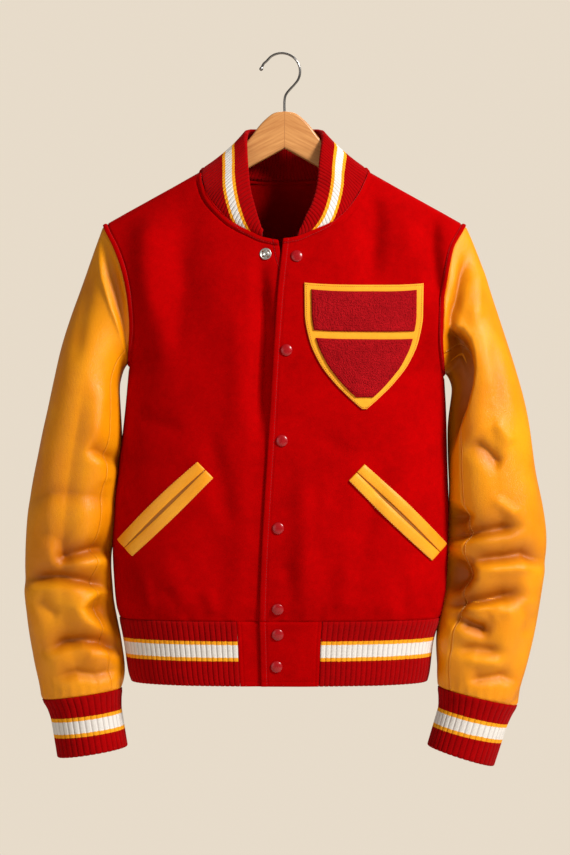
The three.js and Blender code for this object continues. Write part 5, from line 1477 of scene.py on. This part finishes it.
# Four dark discs on the stud stand for its holes: painted shade, the dark inside each hole
for k in range(4):
    angle = math.pi / 4 + k * math.pi / 2
    spot = stud_point + 4.9 * (stud_side * math.cos(angle) + stud_up * math.sin(angle)) + stud_normal * 0.4
    turned_disc(f"stud_hole_shade_{k + 1}", None, spot, stud_normal, [(1.05, 0), (1.05, 0.95), (0.1, 1.0)],
                DARK_THREAD_AND_HOLE_SHADE, 12)


def laid_strip(name, places_x, places_z, lower, bottom, height, material):
    """A closed piece that lies on a front: its height over the cloth is an array or a number."""
    points, normals = front_surface(places_x, places_z, lower)
    outer = points + normals * np.asarray(height)[..., None]
    inner = points + normals * bottom
    return make_wall(name, outer, inner, material, stride=2), outer, normals


def strip_places(side, low, high, rows, columns):
    """Places of a strip along a pocket, between two offsets from the slit's line."""
    x0, z0, x1, z1 = POCKETS[side]
    length = math.hypot(x1 - x0, z1 - z0)
    ax, az = (x1 - x0) / length, (z1 - z0) / length
    ux, uz = (-az, ax) if ax > 0 else (az, -ax)
    at = length * columns
    bow = np.sin(np.pi * columns)
    off = mix(low(bow)[None, :], high(bow)[None, :], rows[:, None])
    return x0 + ax * at[None, :] + ux * off, z0 + az * at[None, :] + uz * off


for side, worn in (("left", "right"), ("right", "left")):
    lower = side == "left"
    columns = spacing(141, 2.4, multiple=2)
    rows = spacing(15, 1.0, False, False, 2)
    rows = (1 - np.cos(np.pi * rows)) / 2
    lines = []
    for part, low, high in (("upper", lambda bow: 0.4 + 1.9 * bow, lambda bow: 13.5 + 2.5 * bow),
                            ("lower", lambda bow: -14 - 1.5 * bow, lambda bow: -0.4 - 1.1 * bow)):
        x, z = strip_places(side, low, high, rows, columns)
        across = np.minimum(rows, 1 - rows)[:, None] * 15
        along = np.minimum(columns, 1 - columns)[None, :] * 141
        inset = np.minimum(across, along)
        crown = 2.1 + 1.0 * np.sqrt(np.clip(inset / 2.2, 0, 1)) + 0.5 * np.sin(np.pi * rows)[:, None]
        crown = crown - 0.35 * bell(across - 2.4, 0.5) - 1.3 * (inset < 0.01)
        piece, outer, normals = laid_strip(f"{worn}_pocket_{part}_welt", x, z, lower, 0.5, crown, WELT_FINISH)
        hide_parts(f"pocket_welt_{worn}_{part}")
        edge = line_inside(outer, normals, 0, part == "upper", 1.5, 0.05, 0.02, 0.98)
        lines.append(edge)
    # The slit between the welts: a strip of leather whose dark brown colour is painted shade, the shadow
    # inside the slit
    x, z = strip_places(side, lambda bow: -0.6 - 1.8 * bow, lambda bow: 0.6 + 2.6 * bow,
                        np.linspace(0, 1, 5), np.linspace(0.01, 0.99, 41))
    piece, _, _ = laid_strip(f"{worn}_pocket_slit_shaded_strip", x, z, lower, 0.3, np.full(x.shape, 1.3),
                             SLIT_SHADE_LEATHER)
    stitches(f"{worn}_pocket_stitches", lines, GOLD_THREAD, 3.4, 2.2, 0.22)


def shield_places(border, rows, columns, low_share=0.0, high_share=1.0):
    """Places over the shield, drawn in by a border."""
    low = PATCH_Z - PATCH_BOTTOM + border * 1.7
    high = PATCH_Z + PATCH_TOP - border
    rise = mix(low_share, high_share, rows)
    z = mix(low, high, rise)
    share = (z - PATCH_Z + PATCH_BOTTOM) / (PATCH_TOP + PATCH_BOTTOM)
    half = np.maximum(smooth(SHIELD, "rise", "half", share) - border, 2.4)
    across = 2 * columns - 1
    x = PATCH_X + half[:, None] * across[None, :]
    return x, z[:, None] + 2.5 * np.abs(across)[None, :] ** 3 * rise[:, None]


def patch_piece(name, node, border, low, high, bottom, height, edge, material, step, tufts=0.0):
    rows = spacing(150 * (high - low), step, multiple=2)
    columns = spacing(140, step, multiple=2)
    x, z = shield_places(border, rows, columns, low, high)
    flat = np.stack([x, np.zeros_like(x), z], -1)
    start, end, under, over = edge_distances(flat)
    inset = np.minimum(np.minimum(start, end), np.minimum(under, over))
    top = height - edge * (1 - np.sqrt(np.clip(1 - (1 - np.clip(inset / (edge * 1.6), 0, 1)) ** 2, 0, 1)))
    if tufts:
        generator = np.random.default_rng(5)
        rough = generator.normal(0, 1, x.shape)
        rough = (rough + np.roll(rough, 1, 0) + np.roll(rough, 1, 1)) / 1.9
        rows_of_loops = np.abs(np.sin(np.pi * inset / 3.2))
        top = top + tufts * (rows_of_loops - 0.5 + 0.45 * rough) * ease(inset / 1.5)
    piece, outer, normals = laid_strip(name, x, z, False, bottom, top, material)
    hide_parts(node)
    return piece, outer, normals


felt, felt_outer, felt_normals = patch_piece("shield_felt", "patch_felt", 0, 0, 1, 0.4, 2.5, 0.7,
                                                 GOLD_FELT, 2.4)
for part, low, high in (("upper", 0.62, 1), ("lower", 0, 0.55)):
    patch_piece(f"shield_pile_{part}", f"patch_pile_{part}", PATCH_BORDER, low, high, 2.4, 5.6, 2.2,
                PILE, 1.3, 0.5)
felt_lines = [line_inside(felt_outer, felt_normals, axis, from_end, 2.6, 0.05, 0.02, 0.98)
              for axis in (0, 1) for from_end in (False, True)]
stitches("shield_stitches", felt_lines, DARK_THREAD_AND_HOLE_SHADE, 2.6, 1.7, 0.3)

# Sewing on the wool
front_lines = []
for side in ("left", "right"):
    part = body[side]
    front_lines.append(line_inside(part["outer"], part["normals"], 1, False, 8.2, 0.05, 0.005, 0.985))
    front_lines.append(line_inside(part["outer"], part["normals"], 0, True, 6.5, 0.05, 0.04, 0.46))
    front_lines.append(line_inside(part["outer"], part["normals"], 1, True, 6.1, 0.05, 0.62, 0.99))
back = body["back"]
front_lines.append(line_inside(back["outer"], back["normals"], 0, True, 6.5, 0.05, 0.33, 0.67))
for from_end in (False, True):
    front_lines.append(line_inside(back["outer"], back["normals"], 1, from_end, 6.1, 0.05, 0.62, 0.99))
front_lines.append(line_inside(right_tab_outer, right_tab_normals, 1, False, 8.2, 0.05, 0.03, 0.93))
front_lines.append(line_inside(left_tab_outer, left_tab_normals, 1, True, 8.2, 0.05, 0.03, 0.93))
stitches("wool_stitches", front_lines, RED_THREAD, 3.4, 2.4, 0.3)

# Pale rows of stitches beside the sleeves' front seams
sleeve_lines = []
for side in ("left", "right"):
    upper = sleeves[side]["made"]["upper"]
    for from_end in (False, True):
        if side == "right" or from_end:
            sleeve_lines.append(line_inside(upper["outer"], upper["normals"], 1, from_end, 3.0, 0.05,
                                            0.02, 0.985))
stitches("sleeve_stitches", sleeve_lines, GOLD_THREAD, 3.6, 2.5, 0.28)


# Tape inside the back of the neck

def neck_tape():
    part = body["back"]
    grid, normals = part["grid"], part["normals"]
    columns = np.nonzero(np.abs(grid[-1, :, 0]) < 84)[0][::2]
    columns = columns[: len(columns) - (len(columns) - 1) % 2]
    lines = []
    for distance in np.linspace(0.6, 9.6, 9):
        points = []
        for c in columns:
            column, ups = grid[::-1, c], normals[::-1, c]
            run = run_lengths(column[None], 1)[0]
            place = np.array([np.interp(distance, run, column[:, k]) for k in range(3)])
            up = np.array([np.interp(distance, run, ups[:, k]) for k in range(3)])
            crown = 1.4 * math.sqrt(max(1 - ((distance - 5.1) / 4.6) ** 2, 0))
            points.append(place - up * (WOOL + 0.3 + crown))
        lines.append(points)
    outer = np.array(lines)
    level = outer[..., 2].mean(1)
    middle = np.abs(outer[..., 0]) / 84
    outer[..., 2] = mix(outer[..., 2], level[:, None] + 3 * middle ** 2, 0.7)
    inner = outer + normals[-1, columns][None] * 0.25
    piece = make_wall("neck_tape", outer, inner, RED_WOOL, stride=2)
    return piece


tape = neck_tape()

# Each sleeve piece in turn; nothing is done with them
for side in ("left", "right"):
    for part in ("upper", "under"):
        made = sleeves[side]["made"][part]
    worn = "right" if side == "left" else "left"


# Hanger and hook

def hanger_outline():
    """Half of the hanger's outline from the top of its head, out along the arm and back below it."""
    head = np.array([(0, -72.5), (13, -74.5), (24, -82.5), (33, -92), (42, -104), (54, -117),
                     (72, -135)], float)
    at = np.linspace(0, 6, 37)
    rows = {"x": head[:, 0], "z": head[:, 1]}
    top = np.stack([by_station(rows, "x", at), by_station(rows, "z", at)], -1)
    def line_top(x):
        return NECK_Z + SHOULDER_SLOPE * (NECK_HALF - x) - 4.8

    def line_under(x):
        return -119.5 - 0.553 * x

    rest = [(100, line_top(100) - 5.2), (116, line_top(116)), (205, line_top(205)), (214, line_top(217) - 2),
            (217, line_top(217) - 10), (213, line_under(217) + 4), (205, line_under(205))]
    back = [(x, line_under(x)) for x in np.linspace(190, 6, 14)]
    return np.concatenate([top, rest, back, [(0, -119.5)]])


def rounded_board(name, node, half, thickness, radius, material):
    """A board with rounded edges: the outline is drawn in ring by ring towards both faces."""
    outline = np.concatenate([half, (half * (-1, 1))[1:-1][::-1]])
    closed = np.concatenate([outline[-1:], outline, outline[:1]])
    way = closed[2:] - closed[:-2]
    way /= np.linalg.norm(way, axis=-1, keepdims=True)
    inward = np.stack([way[:, 1], -way[:, 0]], -1)
    points, faces = [], []
    rings = []
    for angle in np.linspace(-90, 90, 13):
        turn = math.radians(angle)
        draw = radius * (1 - math.cos(turn))
        y = (thickness / 2 - radius) * np.sign(angle) + radius * math.sin(turn)
        shape = outline + inward * draw
        rings.append(len(points))
        points += [(x, y, z) for x, z in shape]
    count = len(outline)
    for a, b in zip(rings[:-1], rings[1:]):
        for k in range(count):
            n = (k + 1) % count
            faces.append([a + k, a + n, b + n, b + k])
    faces += [list(range(base, base + count)) for base in (rings[0], rings[-1])]
    piece = make_object(name, points, faces, None, material)
    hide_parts(node)
    return piece


rounded_board("wood_hanger", "hanger", hanger_outline(), 12, 3.2, HANGER_WOOD)


def hook_path():
    radius = HOOK_RADIUS + WIRE_RADIUS
    centre_x, centre_z = HOOK_X, -math.sqrt(HOOK_RADIUS ** 2 - HOOK_X ** 2)
    points = [(-30.5, -20.5), (-27, -12.5)]
    for degrees in range(145, -46, -19):
        angle = math.radians(degrees)
        points.append((centre_x + radius * math.cos(angle), centre_z + radius * math.sin(angle)))
    points += [(3, -49), (0, -58), (0, -76)]
    rows = {"x": np.array([p[0] for p in points], float), "z": np.array([p[1] for p in points], float)}
    at = np.linspace(0, len(points) - 1, 130)
    return np.stack([by_station(rows, "x", at), np.zeros(len(at)), by_station(rows, "z", at)], -1)


def wire(name, node, path, radius, material, sides=14):
    """A round wire along a path in the plane of the hanger, with a ball at its tip."""
    way = np.gradient(path, axis=0)
    way /= np.linalg.norm(way, axis=-1, keepdims=True)
    side = np.cross(way, (0, 1.0, 0))
    run = run_lengths(path[None], 1)[0]
    ball = np.sqrt(np.clip(2.5 ** 2 - (run - 2.3) ** 2, 0, None))
    sizes = np.maximum(ball, np.where(run < 2.3, 0.05, radius))
    points, faces = [], []
    for centre, s, size in zip(path, side, sizes):
        for k in range(sides):
            angle = 2 * math.pi * k / sides
            across = np.array([0, 1.0, 0]) * math.sin(angle)
            points.append(centre + s * math.cos(angle) * size + across * size)
    for r in range(len(path) - 1):
        for k in range(sides):
            n = (k + 1) % sides
            faces.append([r * sides + k, r * sides + n, (r + 1) * sides + n, (r + 1) * sides + k])
    faces.append(list(range(sides)))
    faces.append([(len(path) - 1) * sides + k for k in range(sides)])
    piece = make_object(name, points, faces, None, material)
    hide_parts(node)
    return piece


wire("wire_hook", "hook", hook_path(), WIRE_RADIUS, HOOK_METAL)


# Floor, light and camera

def plain_floor():
    points = [(-2600, -2600, -1350), (2600, -2600, -1350), (2600, 1000, -1350), (-2600, 1000, -1350)]
    mesh = bpy.data.meshes.new("floor")
    mesh.from_pydata((np.array(points) * MM).tolist(), [], [(0, 1, 2, 3)])
    ground = bpy.data.objects.new("floor", mesh)
    bpy.context.scene.collection.objects.link(ground)
    pale = Finish("pale_floor")
    pale.set(Base_Color=(0.78, 0.72, 0.63, 1), Roughness=0.9)
    mesh.materials.append(pale.material)


def area_light(name, place, target, size, power, colour):
    light = bpy.data.lights.new(name, "AREA")
    light.shape = "RECTANGLE"
    light.size, light.size_y = size
    light.energy = power
    light.color = colour
    lamp = bpy.data.objects.new(name, light)
    lamp.location = place
    lamp.rotation_euler = (Vector(target) - Vector(place)).to_track_quat("-Z", "Y").to_euler()
    bpy.context.scene.collection.objects.link(lamp)


plain_floor()


def studio_world():
    """A cream backdrop, with a weaker light from all round."""
    world = bpy.data.worlds.new("studio")
    bpy.context.scene.world = world
    world.use_nodes = True
    nodes, links = world.node_tree.nodes, world.node_tree.links
    nodes.clear()
    room, backdrop = nodes.new("ShaderNodeBackground"), nodes.new("ShaderNodeBackground")
    room.inputs[0].default_value = (0.95, 0.86, 0.76, 1)
    room.inputs[1].default_value = 0.19
    backdrop.inputs[0].default_value = (0.80, 0.71, 0.59, 1)
    seen, either = nodes.new("ShaderNodeLightPath"), nodes.new("ShaderNodeMixShader")
    links.new(seen.outputs["Is Camera Ray"], either.inputs[0])
    links.new(room.outputs[0], either.inputs[1])
    links.new(backdrop.outputs[0], either.inputs[2])
    links.new(either.outputs[0], nodes.new("ShaderNodeOutputWorld").inputs[0])


studio_world()
bpy.context.scene.view_settings.view_transform = "Standard"
area_light("key", (2.3, -1.9, 1.5), (0, 0, -0.45), (0.8, 0.8), 172, (1, 0.98, 0.95))
area_light("fill", (-2.2, -2.4, -0.2), (0, 0, -0.5), (2.2, 2.2), 17, (1, 0.95, 0.9))
area_light("rim", (0.4, 1.6, 1.4), (0, 0, -0.4), (1.4, 1.4), 16, (1, 0.96, 0.9))

camera_data = bpy.data.cameras.new("camera")
camera_data.sensor_fit = "VERTICAL"
camera_data.sensor_height = 36
camera_data.sensor_width = 24
camera_data.lens = 36 * VIEW_DISTANCE / (PICTURE[1] * PIXEL)
camera = bpy.data.objects.new("camera", camera_data)
camera.location = (VIEW_X * MM, -VIEW_DISTANCE * MM, VIEW_Z * MM)
camera.rotation_euler = (math.pi / 2, 0, 0)
bpy.context.scene.collection.objects.link(camera)
bpy.context.scene.camera = camera
